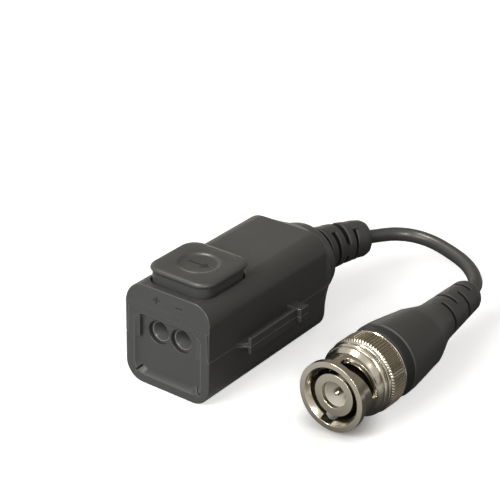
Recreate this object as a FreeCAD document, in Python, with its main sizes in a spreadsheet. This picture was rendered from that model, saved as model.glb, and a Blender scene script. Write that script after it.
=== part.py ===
import FreeCAD, Part
import math
import os

import Sketcher
from FreeCAD import Placement, Rotation, Vector

# Passive video balun: a push-terminal box for one twisted pair, with a short coax lead to a bayonet plug.
# Frame: origin on the flat base under the middle of the box, +X towards the stacking rail,
# +Y towards the cable, +Z up. Millimetres and degrees.

SIZES = [
    # Box
    ("body_width", 19.0, "box, side to side"),
    ("body_height", 20.0, "box, base to top"),
    ("body_length", 36.4, "box, wire face to rear edge"),
    ("edge_radius", 3.8, "rounding of the four long edges"),
    ("wall", 1.4, "side, base and top walls"),
    ("front_wall", 1.8, "thickness of the wire face"),
    ("rear_wall", 1.4, "straight part of the rear wall"),
    ("parting_height", 9.5, "joint between the two halves, on the sides"),
    ("face_joint_height", 15.2, "joint between the two halves, on the wire face"),
    ("side_lip", 0.45, "upper half's lip that shows beside the wire face"),
    ("face_lean", 0.5, "how far the top of the wire face leans back"),
    ("dome_length", 3.6, "rear dome, from the box to its round end"),
    ("dome_radius", 8.3, "round end of the rear dome"),
    ("axis_height", 10.2, "cable axis above the base"),
    # Recessed panel in the wire face
    ("panel_half_width", 7.6, "outer edge of the panel"),
    ("panel_bottom", 1.8, "lower edge of the panel"),
    ("panel_top", 14.3, "upper edge of the panel"),
    ("panel_radius", 2.2, "corners of the panel"),
    ("panel_depth", 0.9, "floor of the panel behind the face"),
    ("panel_slope", 1.1, "width of the sloped border"),
    ("tab_width", 1.25, "pad beside the wire holes"),
    ("tab_bottom", 9.3, "lower end of the pads"),
    ("tab_top", 13.6, "upper end of the pads"),
    ("tab_set_back", 0.15, "pads behind the face"),
    ("slit_length", 1.6, "slit in each lower corner of the panel"),
    ("slit_width", 0.35, "width of that slit"),
    ("slit_depth", 0.45, "depth of that slit below the panel floor"),
    ("slit_inset", 0.8, "middle of that slit inside the panel's outer corner"),
    # Wire entries
    ("wire_pitch", 5.08, "between the two wire entries"),
    ("wire_height", 11.1, "wire axis above the base"),
    ("face_hole_radius", 2.3, "hole in the wire face"),
    ("collar_radius", 1.95, "ring of the terminal seen in that hole"),
    ("funnel_radius", 1.65, "mouth of the funnel"),
    ("funnel_length", 1.6, "funnel, from the mouth to the bore"),
    ("wire_radius", 1.1, "bore for the wire"),
    ("bore_length", 2.0, "straight bore behind the funnel"),
    # Button
    ("cap_width", 14.2, "button cap, side to side"),
    ("cap_length", 14.0, "button cap, front to rear"),
    ("cap_radius", 3.1, "corners of the cap"),
    ("cap_thickness", 1.2, "overhanging rim of the cap"),
    ("cap_overhang", 0.55, "cap beyond its skirt"),
    ("cap_bevel", 0.5, "bevel round the top of the cap"),
    ("cap_front", 2.2, "front of the cap behind the wire face"),
    ("cap_rise", 2.75, "top of the cap above the box"),
    ("skirt_gap", 0.25, "play between the skirt and its hole"),
    ("skirt_wall", 1.3, "wall of the hollow skirt"),
    ("button_travel", 1.5, "stroke of the button"),
    ("hook_height", 1.0, "retaining lip on each side of the skirt"),
    ("hook_reach", 0.6, "that lip beyond the skirt"),
    ("dish_radius", 4.1, "thumb dish in the cap"),
    ("dish_depth", 0.3, "depth of the thumb dish"),
    ("prong_width", 2.0, "prongs that open the clamps"),
    ("prong_length", 1.8, "prongs, front to rear"),
    ("prong_gap", 0.05, "prongs above the clamp springs"),
    # Stacking rail and its slot
    ("rail_front", 7.6, "front of the rail's stem behind the wire face"),
    ("rail_slant", 1.6, "how far the stem's front slopes back"),
    ("rail_length", 14.4, "flange of the rail"),
    ("stem_length", 1.6, "stem, from the side to the flange"),
    ("stem_thickness", 1.0, "height of the stem"),
    ("flange_thickness", 0.7, "flange, across"),
    ("flange_height", 3.3, "flange, up and down"),
    ("flange_chamfer", 0.8, "cut-off rear lower corner of the flange"),
    ("lug_length", 2.6, "stop lug behind the flange"),
    ("lug_reach", 0.8, "lug beyond the flange"),
    ("slot_play", 0.25, "play of a neighbour's rail in the slot"),
    ("slot_back", 0.8, "wall behind and around the slot"),
    # Terminal block
    ("block_half_width", 5.9, "terminal block, half across"),
    ("block_length", 13.2, "terminal block, front to rear"),
    ("block_bottom", 3.6, "underside of the terminal block"),
    ("block_top", 15.3, "top of the terminal block"),
    ("well_width", 3.4, "well of each clamp"),
    ("well_length", 7.6, "well of each clamp, front to rear"),
    ("contact_thickness", 0.5, "contact strip"),
    ("contact_width", 2.4, "contact strip, across"),
    ("spring_thickness", 0.3, "clamp spring strip"),
    ("spring_width", 2.8, "clamp spring strip, across"),
    ("spring_drop", 0.5, "top of the clamp springs below the block's top"),
    ("tail_reach", 2.2, "contact tail behind the block"),
    ("tail_width", 0.9, "solder tail of the contact"),
    ("pin_stub", 0.6, "solder pins and leads below the board"),
    # Circuit board and its parts
    ("board_thickness", 1.0, "circuit board"),
    ("board_half_width", 7.4, "circuit board, half across"),
    ("board_height", 5.0, "underside of the board above the base"),
    ("board_gap", 0.3, "board to terminal block and strain relief"),
    ("ledge_width", 1.6, "ledge that carries the board"),
    ("pin_play", 0.15, "hole around a solder pin"),
    ("core_outer_radius", 3.6, "ferrite ring, outside"),
    ("core_inner_radius", 1.9, "ferrite ring, inside"),
    ("core_height", 4.0, "ferrite ring, along its axis"),
    ("winding_thickness", 0.5, "layer of wire on the ring"),
    ("winding_angle", 130.0, "arc covered by each winding"),
    ("winding_play", 0.05, "winding around the ring"),
    ("arrester_radius", 1.25, "surge arrester"),
    ("arrester_length", 4.4, "surge arrester"),
    ("part_gap", 0.3, "small parts from the edge of the board"),
    ("lead_radius", 0.35, "core and shield leads"),
    ("lead_inset", 2.6, "their holes in front of the board's rear edge"),
    ("jacket_stub", 1.2, "jacket inside the box, beyond the strain relief"),
    # Strain relief of the box
    ("relief_flange_radius", 5.1, "inner flange held by the housing"),
    ("relief_flange_length", 1.6, "thickness of that flange"),
    ("relief_neck_radius", 4.2, "neck through the rear dome"),
    ("relief_cone_radius", 8.15, "outer cone, where it meets the dome"),
    ("relief_edge_radius", 7.55, "outer cone, at its edge"),
    ("relief_edge", 2.2, "that edge behind the dome"),
    ("relief_rim_radius", 7.1, "rear rim of the outer cone"),
    ("relief_cone_length", 3.4, "outer cone, front to rear"),
    ("relief_root_radius", 5.05, "ribbed tail at its root"),
    ("relief_tip_radius", 3.6, "ribbed tail at its tip"),
    ("relief_tail_length", 16.3, "ribbed tail along its axis"),
    ("relief_bend", 29.5, "turn of the tail's axis"),
    ("relief_droop", 2.2, "how far the tail points down"),
    ("relief_dip", 2.0, "part of the neck that bends down"),
    ("relief_first_slot", 3.0, "first slot behind the tail's root"),
    ("relief_pitch", 3.0, "from one slot to the next"),
    ("slot_width", 0.95, "slots of both strain reliefs, along the axis"),
    ("web_thickness", 3.8, "web between two ribs of both strain reliefs"),
    ("web_inset", 0.15, "edge of a web inside its ribs"),
    ("tip_cone", 1.4, "cone at the tip of both strain reliefs"),
    # Cable
    ("cable_radius", 1.4, "jacket"),
    ("jacket_play", 0.03, "jacket inside the strain reliefs"),
    # Bayonet plug, along its own axis from the front ring's face
    ("plug_across", 30.5, "front ring's centre, across from the box's middle"),
    ("plug_front", 7.0, "front ring's face behind the wire face"),
    ("plug_height", 7.27, "plug axis above the base"),
    ("plug_yaw", 2.1, "plug axis turned from the box's axis"),
    ("ring_radius", 6.65, "front ring of the coupling nut"),
    ("ring_length", 1.3, "thickness of that ring"),
    ("mouth_radius", 5.6, "mouth of the nut"),
    ("mouth_depth", 1.1, "chamfer inside the mouth"),
    ("nut_bore_radius", 4.95, "bore of the nut"),
    ("barrel_radius", 5.95, "barrel with the bayonet slots"),
    ("barrel_end", 5.7, "end of the barrel"),
    ("shoulder_rise", 1.4, "slope from the barrel to the shoulder"),
    ("shoulder_radius", 6.9, "shoulder behind the barrel"),
    ("knurl_radius", 7.2, "knurled grip"),
    ("knurl_length", 4.0, "knurled grip, front to rear"),
    ("nut_length", 12.9, "coupling nut in all"),
    ("nut_rib_radius", 4.15, "rib that holds the nut on the plug"),
    ("nut_rib_front", 9.5, "front of that rib"),
    ("nut_rib_length", 1.0, "thickness of that rib"),
    ("bayonet_width", 2.2, "bayonet slot"),
    ("bayonet_start", 2.55, "slot's centre line at its front end"),
    ("bayonet_rise", 2.0, "how far the slot runs back"),
    ("bayonet_turn", 80.0, "how far the slot runs round"),
    ("channel_radius", 5.55, "entry channel inside the nut"),
    ("contact_set_back", 0.9, "outer contact behind the ring's face"),
    ("contact_radius", 4.05, "outer contact sleeve"),
    ("contact_bore_radius", 2.5, "bore of the outer contact"),
    ("shell_flange_radius", 4.7, "flange of the plug shell"),
    ("shell_flange_front", 7.9, "front of that flange"),
    ("shell_flange_length", 1.5, "thickness of that flange"),
    ("shell_neck_radius", 4.05, "neck that carries the nut"),
    ("shell_neck_end", 12.4, "end of the neck"),
    ("shell_rear_radius", 3.3, "rear barrel of the shell"),
    ("shell_length", 19.0, "plug shell in all, from the ring's face"),
    ("pin_radius", 0.68, "centre pin"),
    ("pin_tip", 1.4, "pin's tip behind the ring's face"),
    ("insulator_front", 5.2, "insulator behind the ring's face"),
    ("seal_radius", 4.65, "rubber seal around the sleeve"),
    ("washer_length", 0.5, "spring washer, squeezed"),
    ("retainer_length", 0.8, "retaining ring"),
    ("retainer_radius", 4.75, "retaining ring"),
    ("running_gap", 0.1, "gap beside the nut's rib, at each side"),
    ("ferrule_radius", 2.3, "crimp ferrule"),
    ("ferrule_length", 6.0, "crimp ferrule"),
    # Moulded boot of the plug
    ("boot_front", 13.6, "front of the boot behind the ring's face"),
    ("boot_front_radius", 6.95, "front edge of the boot"),
    ("boot_rim", 2.4, "widest ring behind the boot's front"),
    ("boot_rim_radius", 7.25, "radius there"),
    ("boot_waist", 3.5, "change of taper behind the cable's ferrule"),
    ("boot_waist_radius", 5.65, "radius there"),
    ("boot_neck", 8.0, "start of the ribbed tail behind the ferrule"),
    ("boot_neck_radius", 4.25, "end of the taper there"),
    ("boot_ferrule_radius", 6.2, "taper over the end of the ferrule"),
    ("boot_root_radius", 4.15, "ribbed tail of the boot at its root"),
    ("boot_tip_radius", 3.15, "ribbed tail of the boot at its tip"),
    ("boot_tail_length", 15.0, "ribbed tail of the boot along its axis"),
    ("boot_first_slot", 2.0, "first slot behind that tail's root"),
    ("boot_pitch", 3.17, "from one slot to the next"),
    ("boot_bend", 4.5, "turn of the boot's axis behind the ferrule"),
    ("boot_bend_length", 2.0, "length of that bend"),
]

# The exposed cable's route between the two strain reliefs, chosen by hand along its real lie.
# Each point: across, behind the wire face, above the base. Both ends, and the points in line
# with both tips, come from the reliefs.
CABLE_ROUTE = [
    (7.6, 64.6, 9.3),
    (10.9, 66.75, 9.05),
    (15.2, 67.1, 8.8),
    (20.0, 65.75, 8.55),
    (24.6, 63.9, 8.25),
    (28.3, 60.9, 7.85),
]
CABLE_LEAD = 2.9
SLOT_STATIONS = 4

doc = FreeCAD.newDocument("VideoBalun")
sheet = doc.addObject("Spreadsheet::Sheet", "Sizes")


class Size:
    """A sheet formula with its present value, so that sums of sizes stay bound to the sheet."""

    def __init__(self, formula, value):
        self.formula = formula
        self.value = value

    def join(self, sign, other, value):
        return Size("(%s %s %s)" % (self.formula, sign, other.formula), value)

    def __add__(self, other):
        other = as_size(other)
        return self.join("+", other, self.value + other.value)

    def __sub__(self, other):
        other = as_size(other)
        return self.join("-", other, self.value - other.value)

    def __mul__(self, other):
        other = as_size(other)
        return self.join("*", other, self.value * other.value)

    def __truediv__(self, other):
        other = as_size(other)
        return self.join("/", other, self.value / other.value)

    def __radd__(self, other):
        return as_size(other) + self

    def __rsub__(self, other):
        return as_size(other) - self

    def __rmul__(self, other):
        return as_size(other) * self

    def __neg__(self):
        return Size("(0 - %s)" % self.formula, -self.value)


def as_size(thing):
    """A plain number as a formula of its own."""
    if isinstance(thing, Size):
        return thing
    return Size(repr(float(thing)), float(thing))


class Sizes:
    """The sheet's sizes by name."""

    def __init__(self, rows):
        for row, (name, value, note) in enumerate(rows, start=1):
            sheet.set("A%d" % row, name)
            sheet.set("B%d" % row, repr(value))
            sheet.set("C%d" % row, note)
            sheet.setAlias("B%d" % row, name)
            setattr(self, name, Size("Sizes." + name, value))


s = Sizes(SIZES)
doc.recompute()


# Sketches and features

def bind(thing, name, size):
    """Tie one property to its sheet formula."""
    thing.setExpression(name, as_size(size).formula)


def new_body(name):
    body = doc.addObject("PartDesign::Body", name)
    body.Label = name
    return body


def new_sketch(body, name, role, offset=0.0):
    """A sketch on one of the body's own origin planes, moved along that plane's normal."""
    sketch = body.newObject("Sketcher::SketchObject", name)
    plane = [item for item in body.Origin.OriginFeatures if item.Role == role][0]
    sketch.AttachmentSupport = [(plane, "")]
    sketch.MapMode = "FlatFace"
    sketch.AttachmentOffset = Placement(Vector(0, 0, as_size(offset).value), Rotation())
    bind(sketch, "AttachmentOffset.Base.z", offset)
    return sketch


def fix(sketch, kind, where, size):
    """Add one dimension and bind it to its formula."""
    index = sketch.addConstraint(Sketcher.Constraint(kind, *where, as_size(size).value))
    name = "size%d" % index
    sketch.renameConstraint(index, name)
    bind(sketch, "Constraints." + name, size)


def fix_point(sketch, geometry, point, x, y):
    fix(sketch, "DistanceX", (-1, 1, geometry, point), x)
    fix(sketch, "DistanceY", (-1, 1, geometry, point), y)


def polygon(sketch, corners):
    """Closed straight lines through corners, each a pair of sizes."""
    points = [Vector(as_size(x).value, as_size(y).value, 0) for x, y in corners]
    first = sketch.GeometryCount
    for start, end in zip(points, points[1:] + points[:1]):
        sketch.addGeometry(Part.LineSegment(start, end))
    count = len(corners)
    for i in range(count):
        following = first + (i + 1) % count
        sketch.addConstraint(Sketcher.Constraint("Coincident", first + i, 2, following, 1))
    for i, (x, y) in enumerate(corners):
        fix_point(sketch, first + i, 1, x, y)


def circle(sketch, x, y, radius):
    centre = Vector(as_size(x).value, as_size(y).value, 0)
    ring = sketch.addGeometry(Part.Circle(centre, Vector(0, 0, 1), as_size(radius).value))
    fix_point(sketch, ring, 3, x, y)
    fix(sketch, "Radius", (ring,), radius)


def rounded_rectangle(sketch, left, right, bottom, top, radius):
    """Four tangent arcs and the lines between them, counter-clockwise from the lower left."""
    left, right, bottom, top = as_size(left), as_size(right), as_size(bottom), as_size(top)
    radius = as_size(radius)
    centres = [
        (left + radius, bottom + radius, 180),
        (right - radius, bottom + radius, 270),
        (right - radius, top - radius, 0),
        (left + radius, top - radius, 90),
    ]
    first = sketch.GeometryCount
    arcs = []
    for x, y, start in centres:
        ring = Part.Circle(Vector(x.value, y.value, 0), Vector(0, 0, 1), radius.value)
        arcs.append(Part.ArcOfCircle(ring, math.radians(start), math.radians(start + 90)))
    for arc in arcs:
        sketch.addGeometry(arc)
    for arc, following in zip(arcs, arcs[1:] + arcs[:1]):
        sketch.addGeometry(Part.LineSegment(arc.EndPoint, following.StartPoint))
    for i, (x, y, start) in enumerate(centres):
        line = first + 4 + i
        sketch.addConstraint(Sketcher.Constraint("Tangent", first + i, 2, line, 1))
        sketch.addConstraint(Sketcher.Constraint("Tangent", line, 2, first + (i + 1) % 4, 1))
        fix_point(sketch, first + i, 3, x, y)
        fix(sketch, "Radius", (first + i,), radius)


def pad(body, sketch, length, both_ways=False, backwards=False, name="Pad"):
    feature = body.newObject("PartDesign::Pad", body.Name + name)
    feature.Profile = sketch
    feature.Midplane = both_ways
    feature.Reversed = backwards
    bind(feature, "Length", length)
    return feature


def pocket(body, sketch, length, backwards=False, name="Pocket"):
    feature = body.newObject("PartDesign::Pocket", body.Name + name)
    feature.Profile = sketch
    feature.Reversed = backwards
    bind(feature, "Length", length)
    return feature


def turn(body, sketch, angle=360, kind="Revolution"):
    """Turn a profile about the sketch's horizontal axis."""
    feature = body.newObject("PartDesign::" + kind, body.Name + kind)
    feature.Profile = sketch
    feature.ReferenceAxis = (sketch, ["H_Axis"])
    feature.Angle = angle
    return feature


def loft(body, sketches, kind="AdditiveLoft", ruled=False):
    feature = body.newObject("PartDesign::" + kind, body.Name + kind)
    feature.Profile = sketches[0]
    feature.Sections = sketches[1:]
    feature.Ruled = ruled
    return feature


def round_edges(body, base, radius, chosen, kind="Fillet"):
    """Round or chamfer the edges of a feature that the test picks."""
    doc.recompute()
    names = ["Edge%d" % (i + 1) for i, edge in enumerate(base.Shape.Edges) if chosen(edge)]
    feature = body.newObject("PartDesign::" + kind, body.Name + kind)
    feature.Base = (base, names)
    bind(feature, "Radius" if kind == "Fillet" else "Size", radius)
    return feature


def box(name, low, high):
    """A Part box between two corners of sizes."""
    thing = doc.addObject("Part::Box", name)
    for side, axis, a, b in zip(("Length", "Width", "Height"), "xyz", low, high):
        bind(thing, side, as_size(b) - a)
        bind(thing, "Placement.Base." + axis, a)
    return thing


def rod(name, radius, length, start, direction):
    """A Part cylinder from a start point of sizes along a fixed direction."""
    thing = doc.addObject("Part::Cylinder", name)
    thing.Placement = Placement(Vector(), Rotation(Vector(0, 0, 1), direction))
    bind(thing, "Radius", radius)
    bind(thing, "Height", length)
    for axis, value in zip("xyz", start):
        bind(thing, "Placement.Base." + axis, value)
    return thing


def boolean(kind, name, *things):
    """Part::MultiFuse, Part::MultiCommon or Part::Cut of two or more objects."""
    result = doc.addObject("Part::" + kind, name)
    if kind == "Cut":
        result.Base, result.Tool = things
    else:
        result.Shapes = list(things)
    result.Label = name
    return result


def cut(name, base, *tools):
    tool = tools[0] if len(tools) == 1 else boolean("MultiFuse", name + "_tools", *tools)
    return boolean("Cut", name, base, tool)


nodes = []


def node(thing):
    """Keep an object as a piece of the product, under its Label."""
    nodes.append(thing)
    return thing


front = -s.body_length / 2
rear = s.body_length / 2
half_width = s.body_width / 2
dome_end = rear + s.dome_length
RIGHT, LEFT = 1, -1


# Housing: one outer form, hollowed, then parted into the two halves

def housing_form():
    form = new_body("housing_form")
    outline = new_sketch(form, "form_outline", "XZ_Plane", rear * -1)
    rounded_rectangle(outline, -half_width, half_width, 0, s.body_height, s.edge_radius)
    straight = pad(form, outline, s.body_length)
    end = new_sketch(form, "form_end", "XZ_Plane", -dome_end)
    circle(end, 0, s.axis_height, s.dome_radius)
    start = new_sketch(form, "form_start", "XZ_Plane", -rear)
    rounded_rectangle(start, -half_width, half_width, 0, s.body_height, s.edge_radius)
    loft(form, [start, end])
    return form


def hollow():
    space = new_body("housing_hollow")
    outline = new_sketch(space, "hollow_outline", "XZ_Plane", -(rear - s.rear_wall))
    rounded_rectangle(outline, s.wall - half_width, half_width - s.wall, s.wall,
                      s.body_height - s.wall, s.edge_radius - s.wall)
    pad(space, outline, s.body_length - s.rear_wall - s.front_wall)
    return space


def lean_cut():
    """Wedge that lets the top of the wire face lean back."""
    wedge = new_body("face_lean_wedge")
    side = new_sketch(wedge, "lean_side", "YZ_Plane")
    polygon(side, [
        (front - 1, s.face_joint_height),
        (front, s.face_joint_height),
        (front + s.face_lean, s.body_height),
        (front + s.face_lean, s.body_height + 1),
        (front - 1, s.body_height + 1),
    ])
    pad(wedge, side, s.body_width + 2, both_ways=True)
    return wedge


slot_neck = s.stem_thickness / 2 + s.slot_play
slot_half_height = s.flange_height / 2 + s.slot_play
slot_neck_depth = s.stem_length - s.slot_play
slot_depth = s.stem_length + s.flange_thickness + s.slot_play
channel_depth = slot_depth + s.lug_reach
slot_front = front + s.rail_front - s.slot_play
lips_end = front + s.rail_front + s.rail_slant + s.rail_length - s.slot_play

form = cut("leaning_form", housing_form(), lean_cut())
boss_low = s.parting_height - slot_half_height - s.slot_back
boss_high = s.parting_height + slot_half_height + s.slot_back
slot_boss = box("slot_boss",
                (s.wall / 2 - half_width, slot_front - s.slot_back, boss_low),
                (slot_depth + s.slot_back - half_width, rear, boss_high))
channel_boss = box("channel_boss",
                   (s.wall / 2 - half_width, lips_end - s.slot_back, boss_low),
                   (channel_depth + s.slot_back - half_width, rear, boss_high))
hollow_with_boss = cut("hollow_beside_slot", hollow(), slot_boss, channel_boss)
shell = cut("hollow_form", form, hollow_with_boss)


def stacking_slot():
    """T-shaped slot in the left side for a neighbour's rail, and the open channel it slides in from."""
    mouth = box("slot_mouth",
                (-half_width - 1, slot_front, s.parting_height - slot_neck),
                (slot_neck_depth + 0.1 - half_width, lips_end + 0.1, s.parting_height + slot_neck))
    chamber = box("slot_chamber",
                  (slot_neck_depth - half_width, slot_front, s.parting_height - slot_half_height),
                  (slot_depth - half_width, lips_end + 0.1, s.parting_height + slot_half_height))
    channel = box("slot_channel",
                  (-half_width - 1, lips_end, s.parting_height - slot_half_height),
                  (channel_depth - half_width, dome_end + 1, s.parting_height + slot_half_height))
    return boolean("MultiFuse", "stacking_slot", mouth, chamber, channel)


neck_hole = rod("neck_hole", s.relief_neck_radius + s.jacket_play, s.dome_length + s.rear_wall + 2,
                (0, rear - s.rear_wall - 1, s.axis_height), Vector(0, 1, 0))
shell = cut("open_form", shell, stacking_slot(), neck_hole)


def stacking_rail():
    """T-shaped rail on the right side: sloping stem, flange with a cut corner and a stop lug."""
    rail = new_body("stacking_rail")
    flange_front = front + s.rail_front + s.rail_slant
    flange_rear = flange_front + s.rail_length
    inner = half_width + s.stem_length
    outer = inner + s.flange_thickness
    low = s.parting_height - s.flange_height / 2
    high = s.parting_height + s.flange_height / 2
    stem = new_sketch(rail, "rail_stem", "XY_Plane", s.parting_height)
    polygon(stem, [
        (half_width - s.wall / 2, front + s.rail_front),
        (half_width, front + s.rail_front),
        (inner, flange_front),
        (inner, flange_rear),
        (half_width - s.wall / 2, flange_rear),
    ])
    pad(rail, stem, s.stem_thickness, both_ways=True, name="Stem")
    flange = new_sketch(rail, "rail_flange", "YZ_Plane", inner)
    polygon(flange, [
        (flange_front, low),
        (flange_rear - s.flange_chamfer, low),
        (flange_rear, low + s.flange_chamfer),
        (flange_rear, high),
        (flange_front, high),
    ])
    pad(rail, flange, s.flange_thickness, name="Flange")
    lug = new_sketch(rail, "rail_lug", "YZ_Plane", half_width - s.wall / 2)
    polygon(lug, [
        (flange_rear, low + s.stem_thickness / 2),
        (flange_rear + s.lug_length, low + s.stem_thickness / 2),
        (flange_rear + s.lug_length, high - s.stem_thickness / 10),
        (flange_rear, high - s.stem_thickness / 10),
    ])
    pad(rail, lug, outer + s.lug_reach - half_width + s.wall / 2, name="Lug")
    return rail


rail = stacking_rail()
far = s.body_width * 2
above = box("above_parting", (-far, front - far, s.parting_height), (far, dome_end + far, s.body_height + far))
face_block = box("face_block", (s.side_lip - half_width, front - far, 0),
                 (half_width - s.side_lip, front + s.front_wall, s.face_joint_height))
upper_space = cut("upper_space", above, face_block)

skirt_half = s.cap_width / 2 - s.cap_overhang
skirt_front = front + s.cap_front + s.cap_overhang
skirt_rear = front + s.cap_front + s.cap_length - s.cap_overhang
skirt_radius = s.cap_radius - s.cap_overhang
cap_top = s.body_height + s.cap_rise


def button_hole():
    hole = new_body("button_hole")
    outline = new_sketch(hole, "button_hole_outline", "XY_Plane", s.body_height - s.wall - 1)
    rounded_rectangle(outline, -skirt_half - s.skirt_gap, skirt_half + s.skirt_gap,
                      skirt_front - s.skirt_gap, skirt_rear + s.skirt_gap, skirt_radius + s.skirt_gap)
    pad(hole, outline, s.wall + 2)
    return hole


upper_rail = boolean("MultiCommon", "upper_rail", rail, above)
upper_shell = boolean("MultiCommon", "upper_shell", shell, upper_space)
upper_block = boolean("MultiFuse", "upper_block", upper_shell, upper_rail)
node(cut("upper_housing", upper_block, button_hole()))


# Wire face: a recessed panel with sloped borders, two pads, two corner slits and two holes

panel_floor = front + s.panel_depth
wire_sides = (("plus", LEFT), ("minus", RIGHT))


def panel_recess():
    recess = new_body("panel_recess")
    mouth = new_sketch(recess, "panel_mouth", "XZ_Plane", -front)
    rounded_rectangle(mouth, -s.panel_half_width, s.panel_half_width, s.panel_bottom, s.panel_top,
                      s.panel_radius)
    floor = new_sketch(recess, "panel_floor", "XZ_Plane", -panel_floor)
    rounded_rectangle(floor, s.panel_slope - s.panel_half_width, s.panel_half_width - s.panel_slope,
                      s.panel_bottom + s.panel_slope, s.panel_top - s.panel_slope / 2,
                      s.panel_radius - s.panel_slope / 2)
    loft(recess, [mouth, floor], ruled=True)
    return recess


def panel_tab(name, side):
    """Pad beside the wire holes, nearly as high as the face."""
    edge = s.panel_half_width * side
    inner = edge - s.tab_width * side
    low, high = (edge, inner) if side == LEFT else (inner, edge)
    return box(name, (low, front + s.tab_set_back, s.tab_bottom),
               (high, panel_floor + 0.2, s.tab_top))


def corner_slit(name, side):
    """Narrow slit that points at each lower corner of the panel."""
    slit = new_body(name)
    centre = (s.panel_half_width - s.slit_inset) * side
    height = s.panel_bottom + s.slit_inset
    along = s.slit_length / 2 * math.sqrt(0.5)
    across = s.slit_width / 2 * math.sqrt(0.5)
    face = new_sketch(slit, name + "_face", "XZ_Plane", -front)
    polygon(face, [
        (centre + (along + across) * side, height - along + across),
        (centre + (along - across) * side, height - along - across),
        (centre - (along + across) * side, height + along - across),
        (centre - (along - across) * side, height + along + across),
    ])
    pad(slit, face, s.panel_depth + s.slit_depth, backwards=True)
    return slit


tabs = [panel_tab("tab_%s" % word, side) for word, side in wire_sides]
slits = [corner_slit("slit_%s" % word, side) for word, side in wire_sides]
face_holes = [
    rod("face_hole_%s" % word, s.face_hole_radius, s.front_wall + 2,
        (s.wire_pitch / 2 * side, front - 1, s.wire_height), Vector(0, 1, 0))
    for word, side in wire_sides
]
recess = cut("recess_between_tabs", panel_recess(), *tabs)

board_front = front + s.front_wall + s.block_length + s.board_gap
board_rear = rear - s.rear_wall - s.relief_flange_length - s.board_gap
board_top = s.board_height + s.board_thickness


def board_ledge(name, side):
    """Ledge along each side wall that carries the circuit board."""
    outer = (half_width - s.wall / 2) * side
    inner = (s.board_half_width - s.ledge_width) * side
    low, high = (outer, inner) if side == LEFT else (inner, outer)
    return box(name, (low, board_front, s.wall / 2), (high, board_rear, s.board_height))


def block_rest(name, side):
    """Rib under the terminal block."""
    outer = s.block_half_width * side
    inner = (s.block_half_width - s.ledge_width) * side
    low, high = (outer, inner) if side == LEFT else (inner, outer)
    return box(name, (low, front + s.front_wall / 2, s.wall / 2),
               (high, front + s.front_wall + s.block_length, s.block_bottom))


ribs = [board_ledge("ledge_left", LEFT), board_ledge("ledge_right", RIGHT),
        block_rest("rest_left", LEFT), block_rest("rest_right", RIGHT)]
lower_rail = cut("lower_rail", rail, above)
lower_shell = cut("lower_shell", shell, upper_space)
inside = boolean("MultiCommon", "ribs_in_form", boolean("MultiFuse", "ribs", *ribs), form)
lower_block = boolean("MultiFuse", "lower_block", lower_shell, lower_rail, inside)
node(cut("lower_housing", lower_block, recess, *slits, *face_holes))


# Push button: domed cap with a thumb dish, hollow skirt, two hooks and two prongs

prong_centre = front + s.front_wall + s.funnel_length + s.bore_length + s.well_length / 2
spring_top = s.block_top - s.spring_drop


def push_button():
    button = new_body("push_button_blank")
    rim = new_sketch(button, "cap_outline", "XY_Plane", cap_top - s.cap_thickness)
    rounded_rectangle(rim, -s.cap_width / 2, s.cap_width / 2, front + s.cap_front,
                      front + s.cap_front + s.cap_length, s.cap_radius)
    cap = pad(button, rim, s.cap_thickness, name="Cap")
    round_edges(button, cap, s.cap_bevel, lambda edge: edge.BoundBox.ZMin > cap_top.value - 1e-6,
                kind="Chamfer")
    bottom = s.body_height - s.wall - s.skirt_gap / 2 - s.hook_height
    skirt = new_sketch(button, "skirt_outline", "XY_Plane", bottom)
    rounded_rectangle(skirt, -skirt_half, skirt_half, skirt_front, skirt_rear, skirt_radius)
    pad(button, skirt, cap_top - s.cap_thickness / 2 - bottom, name="Skirt")
    room = new_sketch(button, "skirt_room", "XY_Plane", bottom)
    rounded_rectangle(room, s.skirt_wall - skirt_half, skirt_half - s.skirt_wall,
                      skirt_front + s.skirt_wall, skirt_rear - s.skirt_wall, skirt_radius - s.skirt_wall / 2)
    pocket(button, room, cap_top - s.cap_thickness - bottom, backwards=True, name="Room")
    hooks = [
        box("hook_%s" % word, (-s.cap_width / 4, low, bottom), (s.cap_width / 4, high, bottom + s.hook_height))
        for word, low, high in (
            ("front", skirt_front - s.hook_reach, skirt_front + s.skirt_wall / 2),
            ("rear", skirt_rear - s.skirt_wall / 2, skirt_rear + s.hook_reach),
        )
    ]
    prongs = [
        box("prong_%s" % word,
            (s.wire_pitch / 2 * side - s.prong_width / 2, prong_centre - s.prong_length / 2,
             spring_top + s.prong_gap),
            (s.wire_pitch / 2 * side + s.prong_width / 2, prong_centre + s.prong_length / 2,
             cap_top - s.cap_thickness / 2))
        for word, side in wire_sides
    ]
    dish = doc.addObject("Part::Sphere", "thumb_dish")
    ball = (s.dish_radius * s.dish_radius + s.dish_depth * s.dish_depth) / (2 * s.dish_depth)
    bind(dish, "Radius", ball)
    bind(dish, "Placement.Base.y", front + s.cap_front + s.cap_length / 2)
    bind(dish, "Placement.Base.z", cap_top - s.dish_depth + ball)
    solid = boolean("MultiFuse", "button_solid", button, *hooks, *prongs)
    return cut("push_button", solid, dish)


node(push_button())


# Terminal block with its two clamps

block_front = front + s.front_wall
block_rear = block_front + s.block_length
well_front = block_front + s.funnel_length + s.bore_length
well_rear = well_front + s.well_length
contact_low = s.wire_height - s.wire_radius - s.contact_thickness - 0.15
contact_high = contact_low + s.contact_thickness
pin_across = block_rear + s.tail_reach


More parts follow.
